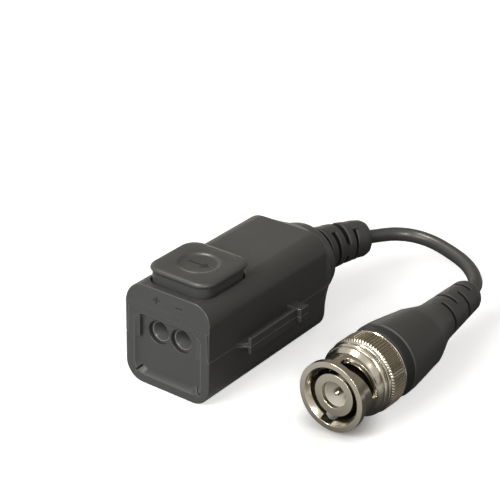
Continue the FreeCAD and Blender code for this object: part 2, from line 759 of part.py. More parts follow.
def terminal_block():
    block = new_body("terminal_blank")
    outline = new_sketch(block, "block_outline", "XZ_Plane", -block_rear)
    polygon(outline, [
        (-s.block_half_width, s.block_bottom),
        (s.block_half_width, s.block_bottom),
        (s.block_half_width, s.block_top),
        (-s.block_half_width, s.block_top),
    ])
    pad(block, outline, s.block_length, name="Block")
    tools = []
    collars = []
    for word, side in wire_sides:
        x = s.wire_pitch / 2 * side
        collars.append(rod("collar_%s" % word, s.collar_radius, s.front_wall - s.panel_depth + 0.2,
                           (x, panel_floor, s.wire_height), Vector(0, 1, 0)))
        funnel = doc.addObject("Part::Cone", "funnel_%s" % word)
        funnel.Placement = Placement(Vector(), Rotation(Vector(0, 0, 1), Vector(0, 1, 0)))
        bind(funnel, "Radius1", s.funnel_radius)
        bind(funnel, "Radius2", s.wire_radius)
        bind(funnel, "Height", s.funnel_length + s.front_wall - s.panel_depth)
        bind(funnel, "Placement.Base.x", x)
        bind(funnel, "Placement.Base.y", panel_floor)
        bind(funnel, "Placement.Base.z", s.wire_height)
        tools.append(funnel)
        tools.append(rod("wire_bore_%s" % word, s.wire_radius, s.bore_length + s.funnel_length + 1,
                         (x, block_front, s.wire_height), Vector(0, 1, 0)))
        tools.append(box("well_%s" % word,
                         (x - s.well_width / 2, well_front, contact_low),
                         (x + s.well_width / 2, well_rear, s.block_top + 1)))
        tools.append(box("tail_slot_%s" % word,
                         (x - s.contact_width / 2 - s.pin_play, well_rear - 1, contact_low),
                         (x + s.contact_width / 2 + s.pin_play, block_rear + 1, contact_high + s.pin_play)))
    return cut("terminal_block", boolean("MultiFuse", "block_with_collars", block, *collars), *tools)


node(terminal_block())


def contact(word, side):
    """Brass strip under the wire, with a tail that runs back and down into the circuit board."""
    strip = new_body("contact_" + word)
    x = s.wire_pitch / 2 * side
    shape = new_sketch(strip, "contact_side_" + word, "YZ_Plane", x)
    polygon(shape, [
        (well_front + 0.2, contact_low),
        (pin_across - s.contact_thickness, contact_low),
        (pin_across - s.contact_thickness, s.board_height - s.pin_stub),
        (pin_across, s.board_height - s.pin_stub),
        (pin_across, contact_high),
        (well_front + 0.2, contact_high),
    ])
    pad(strip, shape, s.contact_width, both_ways=True, name="Strip")
    for name, low, high in (
        ("outer", s.tail_width / 2, s.contact_width),
        ("inner", -s.contact_width, -s.tail_width / 2),
    ):
        trim = new_sketch(strip, "trim_%s_%s" % (name, word), "XY_Plane", contact_low)
        polygon(trim, [
            (x + low, block_rear + 0.6),
            (x + high, block_rear + 0.6),
            (x + high, pin_across + 1),
            (x + low, pin_across + 1),
        ])
        pocket(strip, trim, s.wire_height, name="Under" + name)
        pocket(strip, trim, s.wire_height, backwards=True, name="Over" + name)
    return strip


def clamp_spring(word, side):
    """Bent steel strip: foot on the contact, arch under the prong, leaf that bears on the wire."""
    strip = new_body("clamp_spring_" + word)
    shape = new_sketch(strip, "spring_side_" + word, "YZ_Plane", s.wire_pitch / 2 * side)
    t = s.spring_thickness
    back = well_rear - s.slot_play
    knee = prong_centre - s.prong_length / 2
    tip = well_front + s.slot_play
    polygon(shape, [
        (prong_centre, contact_high),
        (back, contact_high),
        (back, spring_top),
        (knee, spring_top),
        (tip, contact_high + t),
        (tip + t * 1.1, contact_high + t),
        (knee + t * 0.8, spring_top - t),
        (back - t, spring_top - t),
        (back - t, contact_high + t),
        (prong_centre, contact_high + t),
    ])
    pad(strip, shape, s.spring_width, both_ways=True)
    return strip


for word, side in wire_sides:
    node(contact(word, side))
for word, side in wire_sides:
    node(clamp_spring(word, side))


# Circuit board, ring transformer, surge arrester and small parts

lead_y = board_rear - s.lead_inset
ring_y = (pin_across + lead_y) / 2
core_bottom = board_top + s.winding_thickness + s.winding_play
lead_spots = (("core", 0.0), ("shield", s.lead_radius - s.cable_radius))


def circuit_board():
    board = box("board_blank", (-s.board_half_width, board_front, s.board_height),
                (s.board_half_width, board_rear, board_top))
    holes = []
    for word, side in wire_sides:
        x = s.wire_pitch / 2 * side
        holes.append(box("tail_hole_%s" % word,
                         (x - s.tail_width / 2 - s.pin_play, pin_across - s.contact_thickness - s.pin_play,
                          s.board_height - 1),
                         (x + s.tail_width / 2 + s.pin_play, pin_across + s.pin_play, board_top + 1)))
    for word, x in lead_spots:
        holes.append(rod("lead_hole_%s" % word, s.lead_radius + s.pin_play, s.board_thickness + 2,
                         (x, lead_y, s.board_height - 1), Vector(0, 0, 1)))
    return cut("circuit_board", board, *holes)


node(circuit_board())


def ring_section(sketch, grow):
    """Half section of the ferrite ring, grown by a layer."""
    polygon(sketch, [
        (s.core_inner_radius - grow, core_bottom - grow),
        (s.core_outer_radius + grow, core_bottom - grow),
        (s.core_outer_radius + grow, core_bottom + s.core_height + grow),
        (s.core_inner_radius - grow, core_bottom + s.core_height + grow),
    ])


def ring_part(name, grow, angle, start):
    body = new_body(name)
    section = new_sketch(body, name + "_section", "XZ_Plane")
    ring_section(section, grow)
    feature = body.newObject("PartDesign::Revolution", name + "_turn")
    feature.Profile = section
    feature.ReferenceAxis = (section, ["V_Axis"])
    if isinstance(angle, Size):
        bind(feature, "Angle", angle)
        feature.Midplane = True
    body.Placement.Rotation = Rotation(Vector(0, 0, 1), start)
    bind(body, "Placement.Base.y", ring_y)
    return body


core = ring_part("transformer_core", 0.0, 360, 0)
node(core)
for word, start in (("pair_winding", 0), ("coax_winding", 180)):
    layer = ring_part(word + "_layer", s.winding_thickness + s.winding_play, s.winding_angle, start)
    space = ring_part(word + "_space", s.winding_play, 360, start)
    node(cut(word, layer, space))


def surge_arrester():
    """Gas tube with two square end caps that stand on the board."""
    x = s.board_half_width - s.part_gap - s.arrester_radius
    y = board_rear - s.part_gap - s.arrester_length
    glass = rod("arrester_tube", s.arrester_radius * 0.85, s.arrester_length,
                (x, y, board_top + s.arrester_radius), Vector(0, 1, 0))
    caps = [
        box("arrester_%s" % word,
            (x - s.arrester_radius, start, board_top),
            (x + s.arrester_radius, start + s.arrester_length / 5, board_top + s.arrester_radius * 2))
        for word, start in (("front_cap", y), ("rear_cap", y + s.arrester_length * 0.8))
    ]
    return boolean("MultiFuse", "surge_arrester", glass, *caps)


node(surge_arrester())
channel_inside = channel_depth + s.slot_back - half_width
for name, x, y, across, along, height in (
    ("coupling_capacitor", channel_inside + 0.4, board_rear - 4.2, 1.8, 3.2, 1.4),
    ("balance_resistor", s.board_half_width - 2.2, board_front + 1.0, 1.3, 2.0, 0.6),
    ("match_resistor", 0.9 - s.board_half_width, board_front + 1.0, 1.3, 2.0, 0.6),
):
    node(box(name, (x, y, board_top), (x + across, y + along, board_top + as_size(height))))


# Strain relief of the box: inner flange, neck, outer cone and a bent, ribbed tail

tail_start = dome_end + s.relief_cone_length
jacket_hole = s.cable_radius + s.jacket_play
relief_inner = rear - s.rear_wall - s.relief_flange_length
jacket_end = relief_inner - s.jacket_stub


class BentAxis:
    """Axis in a flat plane: a straight run along +Y, an arc towards +X and a straight run on."""

    def __init__(self, straight, arc, turn_angle):
        self.straight = straight.value
        self.arc = arc.value
        self.turn_angle = turn_angle.value
        self.radius = self.arc / math.radians(self.turn_angle)

    def place(self, along):
        """Placement at a distance along the axis, turned with it."""
        done = min(max(along - self.straight, 0), self.arc)
        turned = self.turn_angle * done / self.arc
        heading = Vector(math.sin(math.radians(turned)), math.cos(math.radians(turned)), 0)
        bend = Vector(self.radius * (1 - heading.y), self.straight + self.radius * heading.x, 0)
        return Placement(bend + heading * (along - self.straight - done), Rotation(Vector(0, 0, 1), -turned))

    def edges(self, first, last, place):
        """Lines and the arc between two distances, moved to a place."""
        bend_end = self.straight + self.arc
        points = [place.multVec(self.place(along).Base)
                  for along in (first, self.straight, self.straight + self.arc / 2, bend_end, last)]
        found = []
        if first < self.straight:
            found.append(Part.LineSegment(points[0], points[1]).toShape())
        found.append(Part.Arc(points[1], points[2], points[3]).toShape())
        if last > bend_end:
            found.append(Part.LineSegment(points[3], points[4]).toShape())
        return found


def ribbed_tail(axis, start, length, first_slot, pitch, root, tip, side_slot_first):
    """Round ribs along a bent axis, joined by webs that lie and stand in turn, with a cone at the tip."""
    gap = s.slot_width.value
    end = start.value + length.value
    slots = [(start + first_slot + pitch * i).value for i in range(SLOT_STATIONS)]

    def radius(along):
        return root.value + (tip - root).value * (along - start.value) / length.value

    def rib(low, high):
        middle = (low + high) / 2
        disc = Part.makeCylinder(radius(middle), high - low, Vector(0, low - middle, 0), Vector(0, 1, 0))
        disc.Placement = axis.place(middle)
        return disc

    def web(along, stands):
        thick = s.web_thickness.value
        wide, tall = (thick, root.value * 3) if stands else (root.value * 3, thick)
        plate = Part.makeBox(wide, gap * 2, tall, Vector(-wide / 2, -gap, -tall / 2))
        keep = Part.makeCylinder(radius(along + pitch.value / 2) - s.web_inset.value, gap * 2,
                                 Vector(0, -gap, 0), Vector(0, 1, 0))
        plate = plate.common(keep)
        plate.Placement = axis.place(along)
        return plate

    pieces = [rib(start.value - gap / 2, slots[0] - gap / 2)]
    for station, along in enumerate(slots):
        pieces.append(web(along, (station % 2 == 0) == side_slot_first))
        if station + 1 < SLOT_STATIONS:
            pieces.append(rib(along + gap / 2, slots[station + 1] - gap / 2))
    cone = s.tip_cone.value
    last = end - slots[-1] - gap / 2 - cone
    thick = radius(end - cone - last / 2)
    for piece in (
        Part.makeCylinder(thick, last, Vector(0, -last - cone, 0), Vector(0, 1, 0)),
        Part.makeCone(thick, thick - cone * 0.85, cone, Vector(0, -cone, 0), Vector(0, 1, 0)),
    ):
        piece.Placement = axis.place(end)
        pieces.append(piece)
    return pieces[0].multiFuse(pieces[1:])


def tube(path, radius):
    """Round rod along a path of straight runs and tangent arcs."""
    first = path.OrderedEdges[0]
    start = first.valueAt(first.FirstParameter)
    direction = first.tangentAt(first.FirstParameter)
    ring = Part.Wire(Part.makeCircle(radius, start, direction))
    return path.makePipeShell([ring], True, True)


def feature(name, shape):
    thing = doc.addObject("Part::Feature", name)
    thing.Label = name
    thing.Shape = shape
    return thing


def relief_front():
    body = new_body("relief_front")
    side = new_sketch(body, "relief_side", "YZ_Plane")
    inner_end = rear - s.rear_wall
    polygon(side, [
        (relief_inner, jacket_hole),
        (relief_inner, s.relief_flange_radius),
        (inner_end, s.relief_flange_radius),
        (inner_end, s.relief_neck_radius),
        (dome_end, s.relief_neck_radius),
        (dome_end, s.relief_cone_radius),
        (dome_end + s.relief_edge, s.relief_edge_radius),
        (tail_start, s.relief_rim_radius),
        (tail_start, jacket_hole),
    ])
    turn(body, side)
    bind(body, "Placement.Base.z", s.axis_height)
    return body


def moved(shape, place):
    """The shape at a further placement."""
    copy = shape.copy()
    copy.Placement = place.multiply(copy.Placement)
    return copy


# The neck's end dips a little, and the tail bends to the side from there.
dip_start = tail_start - s.relief_dip
dip = BentAxis(dip_start - jacket_end, s.relief_dip, s.relief_droop)
dip_place = Placement(Vector(0, jacket_end.value, s.axis_height.value), Rotation(Vector(0, 1, 0), 90))
dip_end = (tail_start - jacket_end).value
tail_place = dip_place.multiply(dip.place(dip_end)).multiply(Placement(Vector(), Rotation(Vector(0, 1, 0), -90)))
relief_axis = BentAxis(as_size(0), s.relief_tail_length, s.relief_bend)
relief_tail = moved(ribbed_tail(relief_axis, as_size(0), s.relief_tail_length, s.relief_first_slot,
                                s.relief_pitch, s.relief_root_radius, s.relief_tip_radius,
                                side_slot_first=False), tail_place)
relief_path = Part.Wire(dip.edges(0, dip_end, dip_place)
                        + relief_axis.edges(0, s.relief_tail_length.value, tail_place))
relief_hole = tube(relief_path, jacket_hole.value)
relief_whole = boolean("MultiFuse", "relief_whole", relief_front(), feature("relief_tail", relief_tail))
node(cut("strain_relief", relief_whole, feature("relief_hole", relief_hole)))
node(feature("cable_tail", tube(relief_path, s.cable_radius.value)))


# Leads from the cable's end down into the board

def lead(x):
    """Bare wire out of the jacket's end, bent down into its hole in the board."""
    across = as_size(x).value
    start = Vector(across, jacket_end.value, s.axis_height.value)
    corner = Vector(across, lead_y.value, start.z)
    foot = Vector(across, lead_y.value, (s.board_height - s.pin_stub).value)
    path = Part.Wire([Part.LineSegment(start, corner).toShape(), Part.LineSegment(corner, foot).toShape()])
    ring = Part.Wire(Part.makeCircle(s.lead_radius.value, start, Vector(0, 1, 0)))
    return path.makePipeShell([ring], True, True, 1)


for word, x in lead_spots:
    node(feature("%s_lead" % word, lead(x)))


# Bayonet plug, built along +Y from the front ring's face and placed as one group

def place_plug(thing):
    thing.Placement.Rotation = Rotation(Vector(0, 0, 1), -s.plug_yaw.value)
    bind(thing, "Placement.Base.x", s.plug_across)
    bind(thing, "Placement.Base.y", front + s.plug_front)
    bind(thing, "Placement.Base.z", s.plug_height)
    return thing


def turned(name, profile):
    """A piece turned about the plug's axis from a profile of (along, radius) pairs."""
    body = new_body(name)
    side = new_sketch(body, name + "_side", "YZ_Plane")
    polygon(side, profile)
    turn(body, side)
    return body


knurl_front = s.nut_length - s.knurl_length
rib_rear = s.nut_rib_front + s.nut_rib_length


def coupling_nut():
    blank = turned("nut_blank", [
        (0.0, s.mouth_radius),
        (0.0, s.ring_radius),
        (s.ring_length, s.ring_radius),
        (s.ring_length, s.barrel_radius),
        (s.barrel_end, s.barrel_radius),
        (s.barrel_end + s.shoulder_rise, s.shoulder_radius),
        (knurl_front, s.shoulder_radius),
        (knurl_front, s.knurl_radius),
        (s.nut_length, s.knurl_radius),
        (s.nut_length, s.retainer_radius + s.part_gap),
        (rib_rear, s.retainer_radius + s.part_gap),
        (rib_rear, s.nut_rib_radius),
        (s.nut_rib_front, s.nut_rib_radius),
        (s.nut_rib_front, s.nut_bore_radius),
        (s.mouth_depth, s.nut_bore_radius),
    ])
    tools = []
    for side in (0, 180):
        tools.append(bayonet_slot("bayonet_%d" % side, side))
        tools.append(entry_channel("entry_%d" % side, side))
    return place_plug(cut("coupling_nut", blank, *tools))


def bayonet_slot(name, side):
    """Helical slot right through the barrel, with round ends."""
    width = s.bayonet_width.value
    rise = s.bayonet_rise.value
    sweep = s.bayonet_turn.value
    middle = (s.barrel_radius.value + s.nut_bore_radius.value) / 2
    reach = (s.barrel_radius.value - s.nut_bore_radius.value) * 1.6
    helix = Part.makeHelix(rise * 360 / sweep, rise, middle)
    ring = Part.makeBox(reach, 0.02, width, Vector(middle - reach / 2, -0.01, -width / 2)).Faces[2].OuterWire
    slot = helix.makePipeShell([ring], True, True)
    ends = []
    for share in (0, 1):
        end = Part.makeCylinder(width / 2, reach, Vector(middle - reach / 2, 0, rise * share), Vector(1, 0, 0))
        end.rotate(Vector(), Vector(0, 0, 1), sweep * share)
        ends.append(end)
    slot = slot.fuse(ends)
    slot.rotate(Vector(), Vector(1, 0, 0), -90)
    slot.rotate(Vector(), Vector(0, 1, 0), 100 + side)
    slot.translate(Vector(0, s.bayonet_start.value, 0))
    return feature(name, slot)


def entry_channel(name, side):
    """Straight channel inside the nut that leads a stud to the slot's front end."""
    width = s.bayonet_width.value
    length = s.bayonet_start.value
    channel = Part.makeBox(s.channel_radius.value, length, width, Vector(0, 0, -width / 2))
    keep = Part.makeCylinder(s.channel_radius.value, length, Vector(), Vector(0, 1, 0))
    channel = channel.common(keep)
    channel.rotate(Vector(), Vector(0, 1, 0), 100 + side)
    return feature(name, channel)


node(coupling_nut())

insulator_end = s.shell_neck_end
node(place_plug(turned("plug_shell", [
    (s.contact_set_back, s.contact_bore_radius),
    (s.contact_set_back, s.contact_radius),
    (s.shell_flange_front, s.contact_radius),
    (s.shell_flange_front, s.shell_flange_radius),
    (s.shell_flange_front + s.shell_flange_length, s.shell_flange_radius),
    (s.shell_flange_front + s.shell_flange_length, s.shell_neck_radius),
    (s.shell_neck_end, s.shell_neck_radius),
    (s.shell_neck_end, s.shell_rear_radius),
    (s.shell_length, s.shell_rear_radius),
    (s.shell_length, jacket_hole),
    (insulator_end, jacket_hole),
    (insulator_end, s.contact_bore_radius),
])))
node(place_plug(turned("pin_insulator", [
    (s.insulator_front, s.pin_radius),
    (s.insulator_front, s.contact_bore_radius),
    (insulator_end, s.contact_bore_radius),
    (insulator_end, s.pin_radius),
])))
node(place_plug(turned("centre_pin", [
    (s.pin_tip, 0.0),
    (s.pin_tip, s.pin_radius / 3),
    (s.pin_tip + s.pin_radius, s.pin_radius),
    (insulator_end, s.pin_radius),
    (insulator_end, 0.0),
])))
node(place_plug(turned("seal_ring", [
    (s.shell_flange_front - 1.2, s.contact_radius),
    (s.shell_flange_front - 1.2, s.seal_radius),
    (s.shell_flange_front, s.seal_radius),
    (s.shell_flange_front, s.contact_radius),
])))
washer_front = rib_rear + s.running_gap
retainer_front = washer_front + s.washer_length
node(place_plug(turned("spring_washer", [
    (washer_front, s.shell_neck_radius),
    (washer_front, s.retainer_radius - 0.1),
    (retainer_front, s.retainer_radius - 0.1),
    (retainer_front, s.shell_neck_radius),
])))
node(place_plug(turned("retaining_ring", [
    (retainer_front, s.shell_neck_radius),
    (retainer_front, s.retainer_radius),
    (retainer_front + s.retainer_length, s.retainer_radius),
    (retainer_front + s.retainer_length, s.shell_neck_radius),
])))
node(place_plug(turned("crimp_ferrule", [
    (s.shell_length, jacket_hole),
    (s.shell_length, s.ferrule_radius),
    (s.shell_length + s.ferrule_length, s.ferrule_radius),
    (s.shell_length + s.ferrule_length, jacket_hole),
])))


# Moulded boot over the rear of the plug, with a ribbed tail that leans towards the cable

ferrule_end = s.shell_length + s.ferrule_length
boot_neck_end = ferrule_end + s.boot_neck
boot_end = boot_neck_end + s.boot_tail_length
boot_axis = BentAxis(ferrule_end, s.boot_bend_length, -s.boot_bend)
plug_place = Placement(Vector(s.plug_across.value, (front + s.plug_front).value, s.plug_height.value),
                       Rotation(Vector(0, 0, 1), -s.plug_yaw.value))


def boot_bell():
    """Tapered front of the boot, through rings on its axis."""
    rings = []
    for along, radius in (
        (s.boot_front, s.boot_front_radius),
        (s.boot_front + s.boot_rim, s.boot_rim_radius),
        (ferrule_end, s.boot_ferrule_radius),
        (ferrule_end + s.boot_waist, s.boot_waist_radius),
        (boot_neck_end, s.boot_neck_radius),
    ):
        ring = Part.Wire(Part.makeCircle(radius.value, Vector(), Vector(0, 1, 0)))
        ring.Placement = boot_axis.place(along.value)
        rings.append(ring)
    return Part.makeLoft(rings, True, True)


def boot_room():
    """Space for the plug's rear barrel and the ferrule."""
    barrel = Part.makeCylinder(s.shell_rear_radius.value, (s.shell_length - s.boot_front).value + 1,
                               Vector(0, s.boot_front.value - 1, 0), Vector(0, 1, 0))
    ferrule = Part.makeCylinder(s.ferrule_radius.value, s.ferrule_length.value,
                                Vector(0, s.shell_length.value, 0), Vector(0, 1, 0))
    return barrel.fuse(ferrule)


boot_tail = ribbed_tail(boot_axis, boot_neck_end, s.boot_tail_length, s.boot_first_slot, s.boot_pitch,
                        s.boot_root_radius, s.boot_tip_radius, side_slot_first=True)
boot_form = feature("boot_form", moved(boot_bell().fuse(boot_tail).cut(boot_room()), plug_place))
boot_path = Part.Wire(boot_axis.edges(insulator_end.value, boot_end.value, plug_place))
node(cut("plug_boot", boot_form, feature("boot_hole", tube(boot_path, jacket_hole.value))))
node(feature("plug_cable_end", tube(boot_path, s.cable_radius.value)))


# Exposed cable: straight runs joined by tangent arcs, each 0.45 of the shorter run beside it

def cable_path(points):
    """Wire of straight runs and tangent arcs through the route, with the radii used."""
    edges = []
    radii = []
    last = points[0]
    for before, corner, after in zip(points, points[1:], points[2:]):
        inward = (corner - before)
        outward = (after - corner)
        trim = 0.45 * min(inward.Length, outward.Length)
        half_turn = inward.getAngle(outward) / 2
        radii.append(trim / math.tan(half_turn))
        inward.normalize()
        outward.normalize()
        start = corner - inward * trim
        end = corner + outward * trim
        to_middle = (outward - inward).normalize()
        centre = corner + to_middle * (radii[-1] / math.cos(half_turn))
        edges.append(Part.LineSegment(last, start).toShape())
        edges.append(Part.Arc(start, centre - to_middle * radii[-1], end).toShape())
        last = end
    edges.append(Part.LineSegment(last, points[-1]).toShape())
    return Part.Wire(edges), radii


def tail_exit(place):
    """Tip of a tail and the point in line with it where the cable starts to bend."""
    return place.Base, place.multVec(Vector(0, CABLE_LEAD, 0))


relief_tip, relief_out = tail_exit(tail_place.multiply(relief_axis.place(s.relief_tail_length.value)))
boot_tip, boot_out = tail_exit(plug_place.multiply(boot_axis.place(boot_end.value)))
route = [relief_tip, relief_out]
route += [Vector(x, front.value + y, z) for x, y, z in CABLE_ROUTE]
route += [boot_out, boot_tip]
path, radii = cable_path(route)
cable = node(feature("cable", tube(path, s.cable_radius.value)))
print("cable route:", [[round(v, 3) for v in point] for point in route])
print("cable length %.2f, radii %s" % (path.Length, [round(r, 1) for r in radii]))
print("cable volume over section times length: %.4f"
      % (cable.Shape.Volume / (math.pi * s.cable_radius.value ** 2 * path.Length)))


# Check and export

doc.recompute()
for thing in doc.Objects:
    if "Invalid" in thing.State or "Error" in thing.State:
        raise SystemExit("failed: %s %s" % (thing.Name, thing.State))
for thing in nodes:
    shape = thing.Shape
    if shape.isNull() or not shape.isValid() or len(shape.Solids) != 1:
        raise SystemExit("bad shape: %s, %d solids" % (thing.Label, len(shape.Solids)))
os.makedirs("parts", exist_ok=True)
for thing in nodes:
    thing.Label = thing.Name
    thing.Shape.exportStep("parts/%s.step" % thing.Label)
    print("%-20s %9.2f mm3" % (thing.Label, thing.Shape.Volume))
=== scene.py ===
import math

import bmesh
import bpy
from mathutils import Euler, Matrix, Vector


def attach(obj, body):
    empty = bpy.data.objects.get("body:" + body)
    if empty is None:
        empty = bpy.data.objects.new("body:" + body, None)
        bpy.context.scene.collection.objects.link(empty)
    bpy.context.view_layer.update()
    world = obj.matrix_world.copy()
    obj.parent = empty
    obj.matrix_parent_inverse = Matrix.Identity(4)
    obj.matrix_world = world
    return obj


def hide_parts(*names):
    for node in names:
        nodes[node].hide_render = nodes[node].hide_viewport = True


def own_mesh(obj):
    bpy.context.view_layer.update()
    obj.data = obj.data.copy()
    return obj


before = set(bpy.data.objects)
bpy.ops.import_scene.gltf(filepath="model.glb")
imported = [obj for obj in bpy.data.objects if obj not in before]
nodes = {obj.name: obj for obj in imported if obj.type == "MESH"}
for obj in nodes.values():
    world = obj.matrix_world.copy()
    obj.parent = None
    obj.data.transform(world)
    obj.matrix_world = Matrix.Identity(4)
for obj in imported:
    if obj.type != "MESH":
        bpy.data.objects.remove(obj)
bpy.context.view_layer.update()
scene = bpy.context.scene
scene.view_settings.view_transform = "Standard"

# Camera: the photograph's viewpoint, from the front right and above
camera_data = bpy.data.cameras.new("camera")
camera_data.sensor_width = 36
camera_data.lens = 118.4
camera_data.clip_start = 0.01
camera = bpy.data.objects.new("camera", camera_data)
scene.collection.objects.link(camera)
camera_place = (0.160234, -0.214647, 0.157942)
looks_down, turned_left, leans = 26.96, 35.93, 1.16
level = Euler((math.radians(90 - looks_down), 0, math.radians(turned_left))).to_matrix()
tilt = Matrix.Rotation(math.radians(leans), 3, "Z")
camera.matrix_world = Matrix.Translation(camera_place) @ (level @ tilt).to_4x4()
scene.camera = camera

# Floor: white paper that takes the shadow, as bright as the background where the camera sees it.
# It throws little light back up. Shiny surfaces see it dim, and darker still beside the box's right wall, a
# painted shade there; under the nut its glow fades out, a painted shadow.


def math_node(tree, operation, first, second, clamp=False):
    """One Math node; each input is a number or another node's output."""
    node = tree.nodes.new("ShaderNodeMath")
    node.operation = operation
    node.use_clamp = clamp
    for socket, value in zip(node.inputs, (first, second)):
        if isinstance(value, (int, float)):
            socket.default_value = value
        else:
            tree.links.new(value, socket)
    return node.outputs[0]


def around(tree, point, near, far, inside, outside):
    """One value within the near distance of a point, another past the far one, eased between them."""
    place = tree.nodes.new("ShaderNodeTexCoord")
    apart = tree.nodes.new("ShaderNodeVectorMath")
    apart.operation = "DISTANCE"
    apart.inputs[1].default_value = point
    step = tree.nodes.new("ShaderNodeMapRange")
    step.interpolation_type = "SMOOTHSTEP"
    for socket, value in (("From Min", near), ("From Max", far), ("To Min", inside), ("To Max", outside)):
        step.inputs[socket].default_value = value
    tree.links.new(place.outputs["Object"], apart.inputs[0])
    tree.links.new(apart.outputs["Value"], step.inputs["Value"])
    return step.outputs["Result"]


floor_mesh = bpy.data.meshes.new("floor")
bm = bmesh.new()
bmesh.ops.create_grid(bm, x_segments=1, y_segments=1, size=3)
bm.to_mesh(floor_mesh)
bm.free()
floor = bpy.data.objects.new("floor", floor_mesh)
floor.location.z = -0.00005
scene.collection.objects.link(floor)
paper = bpy.data.materials.new("paper")
paper.use_nodes = True
tree = paper.node_tree
sheet = tree.nodes["Principled BSDF"]
sheet.inputs["Roughness"].default_value = 0.9
sheet.inputs["Emission Color"].default_value = (1, 1, 1, 1)
ray = tree.nodes.new("ShaderNodeLightPath").outputs
right_of_box, under_nut = (0.03, 0.04, 0), (0.0295, -0.0075, 0)
# Painted shade: beside the box's right wall, shiny surfaces see the floor darker
beside_box = around(tree, right_of_box, 0.045, 0.068, 1.0, 0.0)
# Painted shadow: the floor's glow fades out under the nut
outside_painted_shadow = around(tree, under_nut, 0.003, 0.01, 0.0, 1.0)
shiny_painted_shade = math_node(tree, "MULTIPLY", ray["Is Glossy Ray"], beside_box)
mirrored = math_node(tree, "MULTIPLY", math_node(tree, "SUBTRACT", ray["Is Glossy Ray"], shiny_painted_shade), 0.3)
through = math_node(tree, "MAXIMUM", mirrored, ray["Is Transmission Ray"])
shown = math_node(tree, "MAXIMUM", ray["Is Camera Ray"], through)
glow = math_node(tree, "MULTIPLY", math_node(tree, "MULTIPLY", shown, 0.55), outside_painted_shadow)
tree.links.new(glow, sheet.inputs["Emission Strength"])
bounce = tree.nodes.new("ShaderNodeMix")
bounce.data_type = "RGBA"
bounce.inputs["A"].default_value = (0.8, 0.8, 0.8, 1)
bounce.inputs["B"].default_value = (0.1, 0.1, 0.1, 1)
tree.links.new(math_node(tree, "MAXIMUM", ray["Is Diffuse Ray"], shiny_painted_shade), bounce.inputs["Factor"])
tree.links.new(bounce.outputs["Result"], sheet.inputs["Base Color"])
floor_mesh.materials.append(paper)

# Two warm grey cards outside the picture, which the metal mirrors: a large one behind and a darker, low one
# on the right
for name, place, turned, sides, colour in (
    ("rear_card", (0.05, 0.5, 0.42), (90, 0, 0), (1.2, 0.74), (0.3, 0.275, 0.235)),
    ("right_card", (0.36, 0.16, 0.075), (90, 0, 90), (0.5, 0.14), (0.16, 0.145, 0.12)),
):
    felt = bpy.data.materials.new(name)
    felt.use_nodes = True
    cover = felt.node_tree.nodes["Principled BSDF"]
    cover.inputs["Base Color"].default_value = (*colour, 1)
    cover.inputs["Roughness"].default_value = 0.9
    cover.inputs["Emission Color"].default_value = (*colour, 1)
    cover.inputs["Emission Strength"].default_value = 0.7
    card_mesh = bpy.data.meshes.new(name)
    bm = bmesh.new()
    bmesh.ops.create_grid(bm, x_segments=1, y_segments=1, size=0.5)
    bmesh.ops.scale(bm, vec=(*sides, 1), verts=bm.verts)
    bm.to_mesh(card_mesh)
    bm.free()
    card_mesh.materials.append(felt)
    card = bpy.data.objects.new(name, card_mesh)
    card.location = place
    card.rotation_euler = [math.radians(angle) for angle in turned]
    scene.collection.objects.link(card)

# Light: an even white room, a large soft box from the upper left and small weak lamps for the highlights
# along edges. Two of them show only in shiny surfaces.
world = bpy.data.worlds.new("room")
scene.world = world
world.use_nodes = True
tree = world.node_tree
sky = tree.nodes["Background"]
sky.inputs["Color"].default_value = (1, 1, 1, 1)
ray = tree.nodes.new("ShaderNodeLightPath").outputs
shown = math_node(tree, "MAXIMUM", ray["Is Camera Ray"], ray["Is Glossy Ray"])
shown = math_node(tree, "MAXIMUM", shown, ray["Is Transmission Ray"])
strength = tree.nodes.new("ShaderNodeMapRange")
strength.inputs["To Min"].default_value = 0.3
strength.inputs["To Max"].default_value = 1.0
tree.links.new(shown, strength.inputs["Value"])
tree.links.new(strength.outputs[0], sky.inputs["Strength"])
object_middle = Vector((0, 0, 0.01))
for name, place, width, power, colour, shiny_only in (
    ("soft_box", (-0.1, -0.48, 0.35), 0.3, 2.7, (1, 1, 1), False),
    ("strip_light", (-0.3, 0.42, 0.06), 0.05, 0.08, (1, 0.9, 0.72), False),
    ("top_light", (-0.13, -0.02, 0.42), 0.06, 2.0, (1, 0.92, 0.78), True),
    ("glint_light", (0.27, -0.25, 0.36), 0.04, 1.6, (1, 0.96, 0.88), True),
    ("edge_light", (0.34, -0.42, 0.3), 0.06, 0.9, (1, 0.98, 0.94), False),
):
    lamp = bpy.data.lights.new(name, "AREA")
    lamp.size = width
    lamp.energy = power
    lamp.color = colour
    light = bpy.data.objects.new(name, lamp)
    light.location = place
    light.visible_diffuse = not shiny_only
    light.rotation_euler = (Vector(place) - object_middle).to_track_quat("Z", "Y").to_euler()
    scene.collection.objects.link(light)

# Housing: two halves of dark grey satin ABS, injection moulded with a fine grain and snapped together.
# The upper half has the front band with the engraved signs of the two wire entries.


